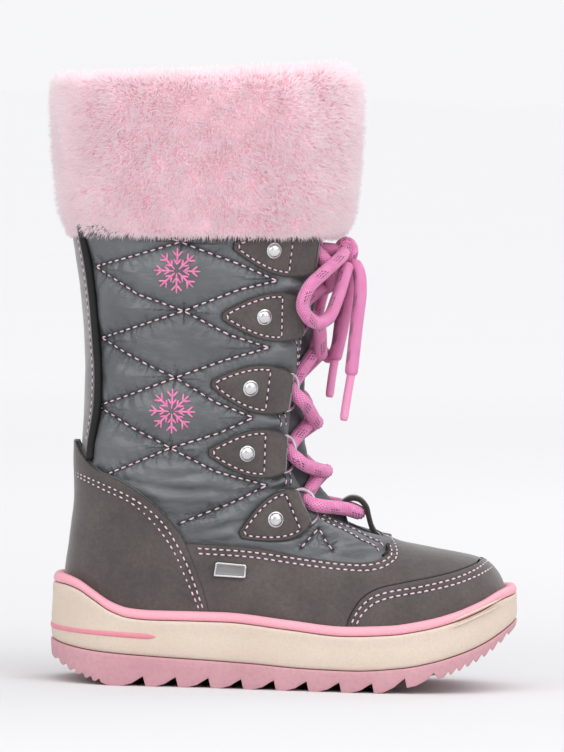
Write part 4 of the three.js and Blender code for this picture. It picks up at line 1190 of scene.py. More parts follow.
# Rows of stitches of the side view, laid on the leather of both sides
stitchRows = dict(
    counter=[
        [
            (-95.4, 97.4), (-90, 95.4), (-83.2, 93.0), (-70.6, 88.0), (-61.0, 82.1), (-53.8, 75.3),
            (-47.5, 66.0), (-41.5, 54.4), (-37.0, 42.8), (-34.5, 36.3),
        ],
        [
            (-95.4, 95.8), (-90, 93.6), (-83.2, 90.7), (-70.5, 85.6), (-62.4, 79.7), (-55.1, 71.9),
            (-48.8, 62.7), (-43.3, 51.1), (-38.3, 40.4), (-36.3, 35.8),
        ],
    ],
    vamp=[
        [
            (-38.5, 64.6), (-13.6, 63.3), (10.0, 60.4), (28.9, 58.6), (41, 58.6), (48.2, 60.2), (52.6, 63.8),
            (51.6, 67.6), (46.6, 73.2),
        ],
        [
            (-38.0, 62.2), (-13.5, 61.0), (10.1, 58.1), (28.9, 56.4), (41.4, 56.3), (49.4, 58.3),
            (54.9, 62.9), (54.0, 68.2), (49.6, 72.0),
        ],
    ],
    toeCap=[
        [
            (34.4, 31.5), (37.4, 37.9), (43.0, 43.6), (50.3, 46.6), (66.7, 49.7), (80.7, 53.0), (90.7, 56.6),
            (98.2, 60.4),
        ],
        [
            (36.6, 31.1), (39.4, 36.4), (45.0, 41.6), (52.7, 44.6), (68.4, 47.6), (82.5, 50.9), (92.1, 54.2),
            (100.2, 57.6),
        ],
    ],
)


def makeCounter():
    edge = laidPath(counterEdge, outerSide, 1.2, 2.0, True)
    # the flap's corner joins the edge in front of it
    flapV = np.concatenate([[5.97, 6.08, 6.26, 6.46], edge[1]])
    flapTurn = np.concatenate([[np.pi - 0.16, np.pi - 0.24, np.pi - 0.38, np.pi - 0.55], edge[2]])
    scale = np.array([24, 42])  # millimetres for a rib and for a turn of one
    edgeV, edgeTurn = (smoothPath(np.stack([flapV, flapTurn], -1) * scale, spacing=1.6) / scale).T
    rows = len(edgeV)
    backV = np.interp(np.linspace(0, 1, rows) ** 1.12, [0, 1], [5.95, 10.05])[:, None]
    part, turn = roundTheBack(edgeTurn[:, None], 26, 60)
    v = backV + (edgeV[:, None] - backV) * (1 - part) ** 1.35
    # the rows crowd at the top edge
    crowd = crowded(rows, 90) * (rows - 1)
    index = np.clip(crowd.astype(int), 0, rows - 2)
    t = (crowd - index)[:, None]
    v = v[index] * (1 - t) + v[index + 1] * t
    turn = turn[index] * (1 - t) + turn[index + 1] * t
    base = surfaceAt(v, turn)
    sideways = gridDistance(base, 1)
    fromEdge = np.minimum(np.minimum(sideways, sideways[:, -1:] - sideways), gridDistance(base, 0))
    makeOverlay(
        "counter_leather", "heel_counter", v, turn, leatherPlan["counterSkin"], fromEdge,
        sewnGrooves("counter", 2.2, 0.3), flapLeanAt(v, turn), 0.25,
    )


def makeVamp():
    edge = laidPath(vampEdge, outerSide, 1.5, 1.6, True)
    centreV = np.linspace(edge[1][-1], 16.02, 34)[1:]
    topV = np.concatenate([edge[1], centreV])
    topTurn = np.concatenate([edge[2][:-1], [0.0], np.zeros(len(centreV))])
    joint = len(edge[1]) - 1
    columns = len(topV)
    soleLine = laidPath([(-30.2, 27.5), (0, 23.5), (31, 20.5)], outerSide, 1.2, 1.6)
    capLine = laidPath([[x - 0.4, z] for x, z in toeCapEdge], outerSide, 1.2, 1.6, True)
    lowV, lowTurn = np.concatenate(
        [soleLine[1], capLine[1][1:]]
    ), np.concatenate([soleLine[2], capLine[2][1:]])
    lowTurn[-1] = 0.0
    run = runAlong(surfaceAt(lowV, lowTurn))
    share = np.linspace(0, run[-1], columns)
    lowV, lowTurn = np.interp(share, run, lowV), np.interp(share, run, lowTurn)
    t = crowded(38, 40)[:, None]
    v = topV + (lowV - topV) * t
    turn = topTurn + (lowTurn - topTurn) * t
    # the cut edge lies on the columns before the joint, and behind it the two sides meet
    base = surfaceAt(v, turn)
    nearEdge, _ = nearestOn(base.reshape(-1, 3), surfaceAt(topV[: joint + 1], topTurn[: joint + 1]))
    beyond = np.arange(columns)[None] > joint
    fromTop = np.where(beyond, np.minimum(30, nearEdge.reshape(v.shape)), gridDistance(base, 0))
    fromEdge = np.minimum(fromTop, gridDistance(base, 1) + 0.6)
    rows = len(v)
    bothV, bothTurn = np.concatenate([v[::-1], v]), np.concatenate([turn[::-1], -turn])
    index = np.arange(bothV.size).reshape(bothV.shape)
    index[rows, joint:] = index[rows - 1, joint:]
    makeOverlay(
        "vamp_leather", "vamp", bothV, bothTurn, leatherPlan["vampSkin"], np.concatenate(
            [fromEdge[::-1], fromEdge]
        ),
        sewnGrooves("vamp", 1.8, 0.26), weld=index.reshape(-1), skipRow=rows - 1, grain=(0.16, 15, 43),
    )


def makeToeCap():
    edge = laidPath(toeCapEdge, outerSide, 1.0, 2.4, True)
    order = np.argsort(edge[2])
    turns = np.linspace(-1.95, 1.95, 121)
    edgeV = np.interp(np.abs(turns), edge[2][order], edge[1][order])
    share = crowded(50, 60)[:, None]
    v = edgeV + (17 - edgeV) * (1 - (1 - share) ** 1.25)
    turn = np.broadcast_to(turns, v.shape)
    half = len(turns) // 2
    index = np.arange(v.size).reshape(v.shape)
    index[-1, half + 1 :] = index[-1, :half][::-1]
    makeOverlay(
        "toe_cap_leather", "toe_cap", v, turn, leatherPlan["toeCapSkin"], gridDistance(surfaceAt(v, turn), 0),
        sewnGrooves("toeCap", 2.4, 0.3), weld=index.reshape(-1),
    )


def makeBackstay():
    edge = laidPath(pipingEdge, outerSide, 1.5, 1.2, True)
    keep = edge[0][:, 2] < 212.5
    part, turn = roundTheBack(edge[2][keep][:, None], 14, 14)
    v = np.broadcast_to(edge[1][keep][:, None], turn.shape)
    sideways = gridDistance(surfaceAt(v, turn), 1)
    fromEdge = np.minimum(sideways, sideways[:, -1:] - sideways)
    makeOverlay(
        "backstay_leather", "backstay", v, turn, leatherPlan["staySkin"], fromEdge, finish="stayLeather",
    )


makeCounter()
makeVamp()
makeToeCap()
makeBackstay()
print("leather ready")

# The sole. Its outline from above is a half width and a middle along the boot, rounded at both ends
# as superellipses, and its heights are curves along the boot.
solePlan = dict(
    randTop=[
        [-108, 50.2], [-100, 50], [-94, 48.6], [-86, 44], [-78, 39], [-69, 36], [-58, 35.2], [-25, 35.2],
        [5, 32.6],
        [30, 30.4], [52, 31.4], [68, 34], [82, 37.8], [95, 43], [104, 47.6], [114, 50.4],
    ],
    outsoleTop=[
        [-109, 20], [-98, 17.4], [-83, 15.4], [-50, 13.4], [-12, 11.8], [12, 10.3], [35, 9.9], [58, 11.6],
        [73, 14.6], [87, 19], [97, 23.4], [105, 28.2], [114, 34.5],
    ],
    treadLine=[
        [-110, 16], [-104, 10.6], [-98, 7], [-90, 3.6], [-83, 1.4], [-77, 0], [-60, 0], [-20, 0], [45, 0],
        [56, 1.8],
        [76, 7.2], [89, 12.8], [98, 18], [107, 25.4], [115, 33],
    ],
    half=[
        [-106, 37], [-70, 37.2], [-40, 36.8], [-10, 39.6], [20, 43], [42, 45.2], [62, 45.2], [80, 44],
        [113, 42],
    ],
    middle=[[-106, 0], [-30, 0], [10, 0.6], [45, 1.8], [80, 4], [113, 6]],
    heel=-105.2, toe=112, heelLength=34, toeLength=48, heelPower=2.2, toePower=2.25,
    randHeight=4.2, tooth=15.2, toothDepth=4.6, firstTooth=-76.8, teeth=10, lane=13, channel=1.5,
    fineTooth=3.9, fineDepth=1.9,
)


# Half width of the sole at x, moved outwards by a distance
def soleHalfAt(x, distance):
    s = solePlan
    heel, toe = s["heel"] - distance, s["toe"] + distance
    toHeel = np.clip(1 - (x - heel) / s["heelLength"], 0, 1)
    toToe = np.clip(1 - (toe - x) / s["toeLength"], 0, 1)
    heelRound = np.maximum(0, 1 - toHeel ** s["heelPower"]) ** (1 / s["heelPower"])
    toeRound = np.maximum(0, 1 - toToe ** s["toePower"]) ** (1 / s["toePower"])
    return (curveAt(s["half"], x) + distance) * heelRound * toeRound


# Places round the sole's outline, from the heel over the outer side to the toe and back over the
# inner side: x runs by the cosine over the round heel, evenly over the middle, and by the sine over
# the round toe
def outline(distance, heelSteps=26, middleSteps=60, toeSteps=34):
    distance = np.asarray(distance, float)
    s = solePlan
    heel, toe = s["heel"] - distance, s["toe"] + distance
    a = np.linspace(0, 1, heelSteps + 1)[:-1]
    b = np.linspace(0, 1, middleSteps + 1)[:-1]
    c = np.linspace(0, 1, toeSteps + 1)
    x = np.concatenate([
        heel + s["heelLength"] * (1 - np.cos(np.pi / 2 * a)),
        heel + s["heelLength"] + (toe - s["toeLength"] - heel - s["heelLength"]) * b,
        toe - s["toeLength"] * (1 - np.sin(np.pi / 2 * c)),
    ])
    half = soleHalfAt(x, distance)
    middle = curveAt(s["middle"], x)
    x = np.concatenate([x, x[1:-1][::-1]])
    y = np.concatenate([middle - half, (middle + half)[1:-1][::-1]])
    return x, y


# A ring-shaped band round the sole: each level is a share of the height between two curves and the
# distance outside the outline, and the levels close into a loop
def soleBand(bottom, bottomRise, top, topRise, levels):
    rings = []
    for share, distance in levels:
        x, y = outline(distance)
        low, high = curveAt(solePlan[bottom], x) + bottomRise, curveAt(solePlan[top], x) + topRise
        rings.append(np.stack([x, y, low + (high - low) * share], -1))
    return np.array(rings)


def makeRand():
    profile = [
        (0, -0.9), (0.04, -0.35), (0.14, 0.0), (0.34, 0.1), (0.58, -0.15), (0.78, -0.6), (0.92, -1.2),
        (1.0, -2.0),
        (1.02, -3.2), (0.98, -4.8), (0.8, -5.2), (0.3, -5.2), (0.05, -4.9), (0.0, -3.2),
    ]
    rings = soleBand("randTop", -solePlan["randHeight"], "randTop", 0, profile)
    points = rings.reshape(-1, 3)
    faces = gridCells(*rings.shape[:2], True, True).reshape(-1, 4)
    makePiece("welt_pink", points, [roundedOut(points, faces)], "pinkRubber", "welt_band")


# Turns faces of a floor round where they don't look the way given, up or down
def lookingUp(points, faces, up):
    a, b, c = points[faces[:, 0]], points[faces[:, 1]], points[faces[:, 2]]
    wrong = (np.cross(b - a, c - a)[:, 2] > 0) != up
    return np.where(wrong[:, None], faces[:, ::-1], faces)


def makeMidsole():
    # up the outside with a rounded foot and a low bulge, and down the inside
    outside = [
        (0.0, -0.9), (0.012, -0.2), (0.05, 0.25), (0.12, 0.5), (0.25, 0.62), (0.4, 0.6), (0.55, 0.45),
        (0.68, 0.3),
        (0.78, 0.3), (0.88, 0.35), (0.94, 0.3), (0.97, 0.15), (0.99, -0.15), (1.0, -0.7),
    ]
    inside = [(1.0, -4.6), (0.8, -5.0), (0.6, -5.4), (0.5, -8)]
    rings = soleBand("outsoleTop", 0.3, "randTop", -4.5, outside + inside)
    rows, columns = rings.shape[:2]
    # the last two rings are the floor inside and the foot of the wall over it
    bed = curveAt(footbed, rings[-2:, :, 0]) - 0.3
    rings[-1, :, 2] = bed[1]
    rings[-2, :, 2] = np.maximum(rings[-2, :, 2], bed[0])
    points = rings.reshape(-1, 3)
    quads = [roundedOut(points, gridCells(rows, columns, True).reshape(-1, 4))]
    triangles = []
    # floors: strips between the outer and the inner side of the last and the first ring
    last = columns // 2
    near, far = np.arange(1, last - 1), np.arange(2, last)
    for start, up in (((rows - 1) * columns, True), (0, False)):
        strip = start + np.stack([near, far, columns - far, columns - near], -1)
        tips = start + np.array([[0, 1, columns - 1], [last - 1, last, last + 1]])
        quads.append(lookingUp(points, strip, up))
        triangles.append(lookingUp(points, tips, up))
    faces = [np.concatenate(quads), np.concatenate(triangles)]
    makePiece("midsole_cream", points, faces, "cream", "midsole")


# The tread's height over its line: each tooth is flat, then rises in a hollow curve and drops back
# steeply. The middle lane is half a tooth further on, channels part the lanes, and small teeth run
# round the heel and the toe.
def treadHeight(x, y):
    s = solePlan
    middle = np.abs(y) < s["lane"]
    place = (x - s["firstTooth"]) / s["tooth"] - np.where(middle, 0.5, 0)
    inTeeth = (place >= 0) & (place < s["teeth"])
    phase = (place - np.floor(place)) * s["tooth"]
    deep = s["toothDepth"]
    tooth = np.interp(phase, [0, 0.35, 5.4, 10, 13.4, s["tooth"] - 0.02], [deep, 0, 0, 1.3, 3.6, deep])
    first = (np.floor(place) == 0) & (phase < 0.35)
    tooth = np.where(inTeeth & ~first, tooth, 0)
    channel = (np.abs(np.abs(y) - s["lane"]) < s["channel"]) & (x > -72) & (x < 68)
    tooth = np.where(channel, np.maximum(tooth, deep - 0.6), tooth)
    fine = np.zeros_like(x)
    for start, count in ((-104, 6), (77.5, 8)):
        p = (x - start) / s["fineTooth"]
        f = (p - np.floor(p)) * s["fineTooth"]
        here = (p >= 0) & (p < count)
        fine = np.where(here, np.interp(f, [0.2, 0.6, 2.6, 3.5, 3.7], [0, 0.0, s["fineDepth"], 0.0, 0]), fine)
    return np.maximum(tooth, fine)


def makeOutsole():
    s = solePlan
    xs = [s["heel"] + s["heelLength"] * (1 - np.cos(np.linspace(0, np.pi / 2, 22))), np.linspace(-71, 64, 90),
          s["toe"] - s["toeLength"] * (1 - np.sin(np.linspace(0, np.pi / 2, 26)))]
    for shift in (0, 0.5):
        starts = s["firstTooth"] + (np.arange(s["teeth"]) + shift) * s["tooth"]
        xs += [
            starts - 0.03, starts + 0.36, starts + 5.4, starts + 7.8, starts + 10, starts + 11.8,
            starts + 13.4,
        ]
    for start, count in ((-104, 6), (77.5, 8)):
        fine = start + np.arange(count) * s["fineTooth"]
        xs += [fine + 0.6, fine + 2.6, fine + 3.5]
    x = np.unique(np.round(np.concatenate(xs), 2))
    x = x[(x > s["heel"] + 0.05) & (x < s["toe"] - 0.02)]
    x = np.concatenate(
        [[s["heel"] + 0.02], x[np.concatenate([[True], np.diff(x) > 0.25])], [s["toe"] - 0.01]]
    )[:, None]
    half = np.maximum(soleHalfAt(x, 0.0), 0.3)
    middle = curveAt(s["middle"], x)
    lanes = np.array([-s["channel"], 0.15 - s["channel"], s["channel"] - 0.15, s["channel"]]) - s["lane"]
    inside = np.concatenate([lanes, [-6, 0, 6], -lanes[::-1]])
    shrink = np.minimum(1, half / 20)
    leftEdge, rightEdge = middle - half, middle + half
    fixed = inside[None] * shrink + middle * (1 - shrink)
    left = leftEdge + (fixed[:, :1] - leftEdge) * np.array([0, 0.02, 0.3, 0.65])[None]
    right = fixed[:, -1:] + (rightEdge - fixed[:, -1:]) * np.array([0.35, 0.7, 0.98, 1])[None]
    y = np.concatenate([left, fixed, right], 1)
    xx = np.broadcast_to(x, y.shape)
    bottom = np.stack([xx, y, curveAt(s["treadLine"], xx) + treadHeight(xx, y)], -1)
    # walls: rows from the tread's edge to the top, which stands out a little more
    shares = np.array([0.03, 0.3, 0.6, 0.9, 0.985, 1.0])
    standsOut = np.array([0.12, 0.3, 0.5, 0.66, 0.5, 0.1])
    walls = []
    for edge, sign in ((0, -1), (-1, 1)):
        foot = bottom[:, edge, 2:]
        walls.append(np.stack([
            x + standsOut * np.clip((x - 3.4) / 108.6, -1, 1) ** 5,
            middle + sign * (half + standsOut * np.minimum(1, half / 20)),
            foot + (curveAt(s["outsoleTop"], x) - foot) * shares,
        ], -1))
    loopRows = np.concatenate([walls[0][:, ::-1], bottom, walls[1]], 1)
    rows, columns = loopRows.shape[:2]
    points = loopRows.reshape(-1, 3)
    faces = gridCells(rows, columns, True).reshape(-1, 4)
    ends = []
    for row, flip in ((0, False), (rows - 1, True)):
        ring = row * columns + np.arange(columns)
        k = np.arange(columns // 2 - 1)
        caps = np.stack([ring[k], ring[k + 1], ring[columns - 2 - k], ring[columns - 1 - k]], -1)
        ends.append(caps if flip else caps[:, ::-1])
    faces = np.concatenate([faces, *ends])
    makePiece(
        "outsole_lugs", points, [roundedOut(points, faces)], "lugRubber", "outsole",
        smooth=False,
    )


# The pink stripe round the heel, which tapers to a point on both sides, and two ribs at each side of
# the toe, laid on the midsole
def makeSoleTrim():
    x, y = (np.roll(values, len(values) // 2) for values in outline(0.5))
    near = x < -55.5
    path = smoothPath(np.stack([x[near], y[near], 25.1 - 0.045 * (x[near] + 100)], -1), spacing=1.5)
    taper = np.minimum(1, fromEnds(len(path)) / 3) ** 0.6
    angle = 2 * np.pi * np.arange(12) / 12
    shape = 1 / ((np.abs(np.cos(angle)) / 0.5) ** 4 + (np.abs(np.sin(angle)) / 1.25) ** 4) ** 0.25
    stripe = tube(path, shape[None] * taper[:, None], 12, (0, 0, 1))
    makeTubes("midsole_stripe", [stripe], "stripePink")
    ribs = []
    at = np.linspace(80, 106, 24)
    for sign in (-1, 1):
        for drop in (0.0, 3.0):
            y = curveAt(solePlan["middle"], at) + sign * soleHalfAt(at, 0.75)
            line = np.stack([at, y, 33.6 + (at - 80) * 0.43 - drop], -1)
            ribs.append(tube(line, 0.55 * np.minimum(1, fromEnds(24) / 5), 8, (0, 0, 1)))
    makeTubes("midsole_ribs", ribs, "cream")


makeRand()
makeMidsole()
makeSoleTrim()
makeOutsole()
print("sole ready")

# The fur cuff: a plush core in the shape of a hook over the collar, and tapered strands that lean
# into locks
furPlan = dict(
    section=[
        (1.98, 0.4), (2.04, 2.4), (1.98, 4.4), (1.7, 5.4), (1.1, 5.7), (0.5, 5.6), (0.06, 4.2),
        (-0.06, 2.0), (-0.08, 0), (-0.07, -2.6), (0.04, -5.6), (0.24, -6.4), (0.4, -5.4), (0.42, -3.7),
        (0.25, -3.5), (0.05, -3.5), (-0.02, -3.2), (-0.03, -1.5), (-0.02, 0.2), (0.08, 0.45), (0.5, 0.45),
        (1.0, 0.45), (1.5, 0.45),
    ],
    fullness=0.62, strands=37000, batches=3, length=8.2, thickness=0.34, wildness=0.3,
)


# A place of the cuff: fuller in front than behind, and a little higher in front
def cuffAt(v, distance, turn):
    fuller = 1 + furPlan["fullness"] * np.cos(turn) * smoothstep(distance, 0, 3)
    point = offsetAt(np.maximum(v, 0), turn, distance * fuller)
    point[..., 2] += np.maximum(0, -v) * 33 + (0.9 + 3.6 * np.cos(turn)) * (1 - smoothstep(v, 0.0, 1.0))
    return point


def makeCuff():
    scale = (30, 1)  # a rib is about 30 mm high here
    scaled = np.array(furPlan["section"], float) * scale
    ring = smoothPath(scaled, count=80, loop=True)[:-1] / scale
    turn = np.linspace(0, 2 * np.pi, 120, endpoint=False)[:, None]
    core = cuffAt(*np.broadcast_arrays(ring[:, 0], ring[:, 1], turn))
    points = core.reshape(-1, 3)
    normals = unit(
        np.cross(np.roll(core, -1, 0) - np.roll(core, 1, 0), np.roll(core, -1, 1) - np.roll(core, 1, 1))
    )
    middle = cuffAt(np.full(120, 0.9), np.full(120, 2.0), turn[:, 0])
    normals = normals * np.sign((normals * (core - middle[:, None])).sum())
    # low lumps where the cuff is free of the shaft
    inShaft = (ring[:, 0] > 0.3) & (np.abs(ring[:, 1]) < 4)
    free = smoothstep(np.abs(ring[:, 1] - 0.5) + np.where(inShaft, -9, 9), 0, 6)
    lumps = 0.35 * waves(points, 11, 51).reshape(core.shape[:2])
    points = (core + normals * (lumps * free)[..., None]).reshape(-1, 3)
    faces = facingOut(gridCells(*core.shape[:2], True, True).reshape(-1, 4), points, normals.reshape(-1, 3))
    makePiece(
        "fur_core", points, [faces], "fur", "fur_cuff", attributes={"tip": np.zeros(len(points))},
    )

    # the part of the section that fur grows on: from its foot outside, over the top, to its foot inside
    grows = smoothPath(scaled[:14], count=300) / scale
    run = runAlong(grows * scale)
    run /= run[-1]
    place = lambda a, t: cuffAt(np.interp(a, run, grows[:, 0]), np.interp(a, run, grows[:, 1]), t)
    local = np.random.default_rng(61)
    for batch in range(furPlan["batches"]):
        count = furPlan["strands"]
        a, t = local.uniform(0, 1, count), local.uniform(-np.pi, np.pi, count)
        root = place(a, t)
        along = place(np.minimum(a + 0.01, 1), t) - place(np.maximum(a - 0.01, 0), t)
        around = place(a, t + 0.02) - place(a, t - 0.02)
        out = unit(np.cross(along, around))
        centre = cuffAt(np.full(count, 0.9), np.full(count, 2.0), t)
        out *= np.sign((out * (root - centre)).sum(-1, keepdims=True))
        # locks: strands lean together along the slope of a wavy field
        lean = np.zeros_like(root)
        field = np.random.default_rng(62)
        for length, strength in ((26, 0.3), (13, 0.34), (6.5, 0.3)):
            ways = unit(field.normal(size=(7, 3)))
            phase = field.uniform(0, 6.28, 7)
            lean += strength * (
                np.cos(root @ ways.T * 2 * np.pi / length + phase)[..., None] * ways
            ).sum(1) / 2.2
        wild = local.normal(size=root.shape) * furPlan["wildness"]
        fall = np.array([0, 0, -0.34]) + np.array([0, 0, 0.34]) * smoothstep(root[:, 2:], 256, 280)
        direction = unit(out + 0.6 * (lean - out * (lean * out).sum(-1, keepdims=True)) + wild + fall)
        direction = unit(direction + out * np.maximum(0, 0.25 - (direction * out).sum(-1, keepdims=True)))
        length = furPlan["length"] * local.uniform(0.55, 1.0, count)[:, None]
        length = length * (1 - 0.3 * smoothstep(-root[:, 2:], -222, -212))
        start = root - out * 1.2
        side = unit(np.cross(direction, local.normal(size=root.shape)))
        second = np.cross(direction, side)
        corners = [side * math.cos(a) + second * math.sin(a) for a in (0, 2 * np.pi / 3, 4 * np.pi / 3)]
        strand = [start + corner * furPlan["thickness"] for corner in corners] + [start + direction * length]
        points = np.stack(strand, 1).reshape(-1, 3)
        base = np.arange(count)[:, None] * 4
        faces = (base[:, None] + np.array([[0, 1, 3], [1, 2, 3], [2, 0, 3], [0, 2, 1]])).reshape(-1, 3)
        tip = np.tile([0.0, 0, 0, 1.0], count)
        makePiece(f"fur_strands_{batch + 1}", points, [faces], "fur", attributes={"tip": tip})


makeCuff()
print("fur ready")


# Stitches: short capsules, each a bulge along its direction whose ends dip into the ground
def capsules(centres, along, outward, length, radius, flat=0.8, sides=5, dip=0.35):
    across = np.cross(along, outward)
    stations = np.array([-0.86, 0.0, 0.86])
    swell = np.array([0.72, 1.0, 0.72])
    angle = 2 * np.pi * np.arange(sides) / sides
    sink = dip * stations**2
    rings = (
        centres[:, None, None] + along[:, None, None] * (stations * length / 2)[None, :, None, None]
        + across[:, None, None] * (radius * swell[:, None] * np.cos(angle))[None, ..., None]
        + outward[:, None, None] * (
            radius * flat * swell[:, None] * np.sin(angle) - sink[:, None]
        )[None, ..., None]
    ).reshape(len(centres), -1, 3)
    tips = np.stack(
        [centres - along * length / 2 - outward * dip, centres + along * length / 2 - outward * dip], 1,
    )
    points = np.concatenate([rings, tips], 1)
    each = points.shape[1]
    start = np.arange(len(centres))[:, None] * each
    quads = gridCells(3, sides, True).reshape(-1, 4)
    ring = np.arange(sides)
    first = np.stack([np.full(sides, each - 2), ring, (ring + 1) % sides], -1)
    last = np.stack([np.full(sides, each - 1), (ring + 1) % sides + 2 * sides, ring + 2 * sides], -1)
    # all start the same way round, which the first capsule settles
    quads, triangles = roundedOut(points[0], quads), roundedOut(points[0], np.concatenate([first, last]))
    quads, triangles = (start[:, None] + quads).reshape(-1, 4), (start[:, None] + triangles).reshape(-1, 3)
    return points.reshape(-1, 3), quads, triangles, np.zeros((0, 2))


threadPlan = dict(
    radius=0.43, thinRadius=0.4, leatherLift=0.22, quiltLift=0.36, shadeRadius=0.5, shadeDrop=0.42,
)
nylonThreads, leatherThreads, stitchShadeTubes = [], [], []


# Sews a row: evenly spread stitches along a path, and under them a dark tube of painted shade
def sew(threads, points, outward, length, pitch, radius, lift):
    run = runAlong(points)
    count = max(2, int(run[-1] / pitch))
    at = (np.arange(count) + 0.5) * run[-1] / count
    pick = lambda values, where: np.stack([np.interp(where, run, values[:, k]) for k in range(3)], -1)
    centres, normals = pick(points, at), unit(pick(outward, at))
    along = unit(pick(points, at + 0.4 * length) - pick(points, at - 0.4 * length))
    normals = unit(normals - along * (normals * along).sum(-1, keepdims=True))
    threads.append(capsules(centres + normals * lift, along, normals, length, radius))
    # painted shade: a dark tube just under the stitches darkens the gaps between them
    under = points[::2] + outward[::2] * (lift - threadPlan["shadeDrop"])
    stitchShadeTubes.append(tube(under, threadPlan["shadeRadius"], 4, outward[::2]))


def sewQuilt():
    for side in bothSides:
        for line in quiltPlan["lines"]:
            for ends in zip(line[:-1], line[1:]):
                flat = straightPath(ends, 1.0)
                points, outward = laidOnNylon(flat[:, 0], flat[:, 1], side)
                held = np.min([beyondTab(tab, points[:, 0], points[:, 2]) for tab in tabPlan["rows"]], 0)
                free = (held > 0.6) & (points[:, 2] < 212) & (leatherCover(points[:, 0], points[:, 2]) < 0.4)
                if free.sum() >= 4:
                    sew(
                        nylonThreads, points[free], outward[free], quiltPlan["stitch"], quiltPlan["pitch"],
                        threadPlan["radius"], threadPlan["quiltLift"],
                    )


# Pairs of stitch rows on the throat's facing, between the tabs and along its foot
facingRows = [
    [(4.0, 166.1), (4.4, 149.7)], [(6.1, 166.2), (6.5, 149.7)], [(-2.5, 128.3), (-2.4, 121.3)],
    [(-0.2, 128.4), (0.0, 121.3)], [(1.0, 101.6), (1.2, 94.1)], [(3.6, 101.7), (3.9, 94.2)],
    [(19, 80.6), (27, 76.4), (38, 70.2), (48.4, 65.2)], [(18, 78.6), (26, 74.2), (37, 68.0), (46.8, 63.4)],
]


def sewFacing():
    for side in bothSides:
        for line in facingRows:
            flat = smoothPath(line, 1.0)
            points, outward = laidOnNylon(flat[:, 0], flat[:, 1], side)
            sew(nylonThreads, points, outward, 2.3, 2.9, 0.34, threadPlan["quiltLift"])


def sewLeather():
    for side in bothSides:
        for key, rows in stitchRows.items():
            rise = leatherPlan["seat"] + leatherPlan[key + "Skin"]
            for row in rows:
                flat = smoothPath(row, 1.0)
                v, turn = seenFromSide(flat[:, 0], flat[:, 1], side, rise)
                outward = normalAt(v, turn)
                points = surfaceAt(v, turn) + outward * (rise - 0.26)
                if key == "counter":
                    points = points + outward * flapLeanAt(v, turn * -side)[:, None]
                sew(
                    leatherThreads, points, outward, leatherPlan["stitch"], leatherPlan["pitch"],
                    threadPlan["radius"], threadPlan["leatherLift"],
                )


# Lace tabs. Their leather swells a little inside its stitches, then rises over the ring's bar.
tabForm = dict(foldTop=2.05, rise=8.5, stitchLine=8.2, inset=2.3)


def tabTop(tab, side, alongAt, upAt):
    seat, skin = tabPlan["seat"], tabPlan["skin"]
    barAt = tab[3] - ringPlan["inset"]
    x, z = onTab(tab, alongAt, upAt)
    v, turn = seenFromSide(x, z, side, seat + skin)
    rise = smoothstep(alongAt, barAt - tabForm["rise"], barAt - 0.3)
    height = seat + skin + rise * (ringPlan["rise"] + tabForm["foldTop"] - seat - skin) * 0.96
    return surfaceAt(v, turn), normalAt(v, turn), height


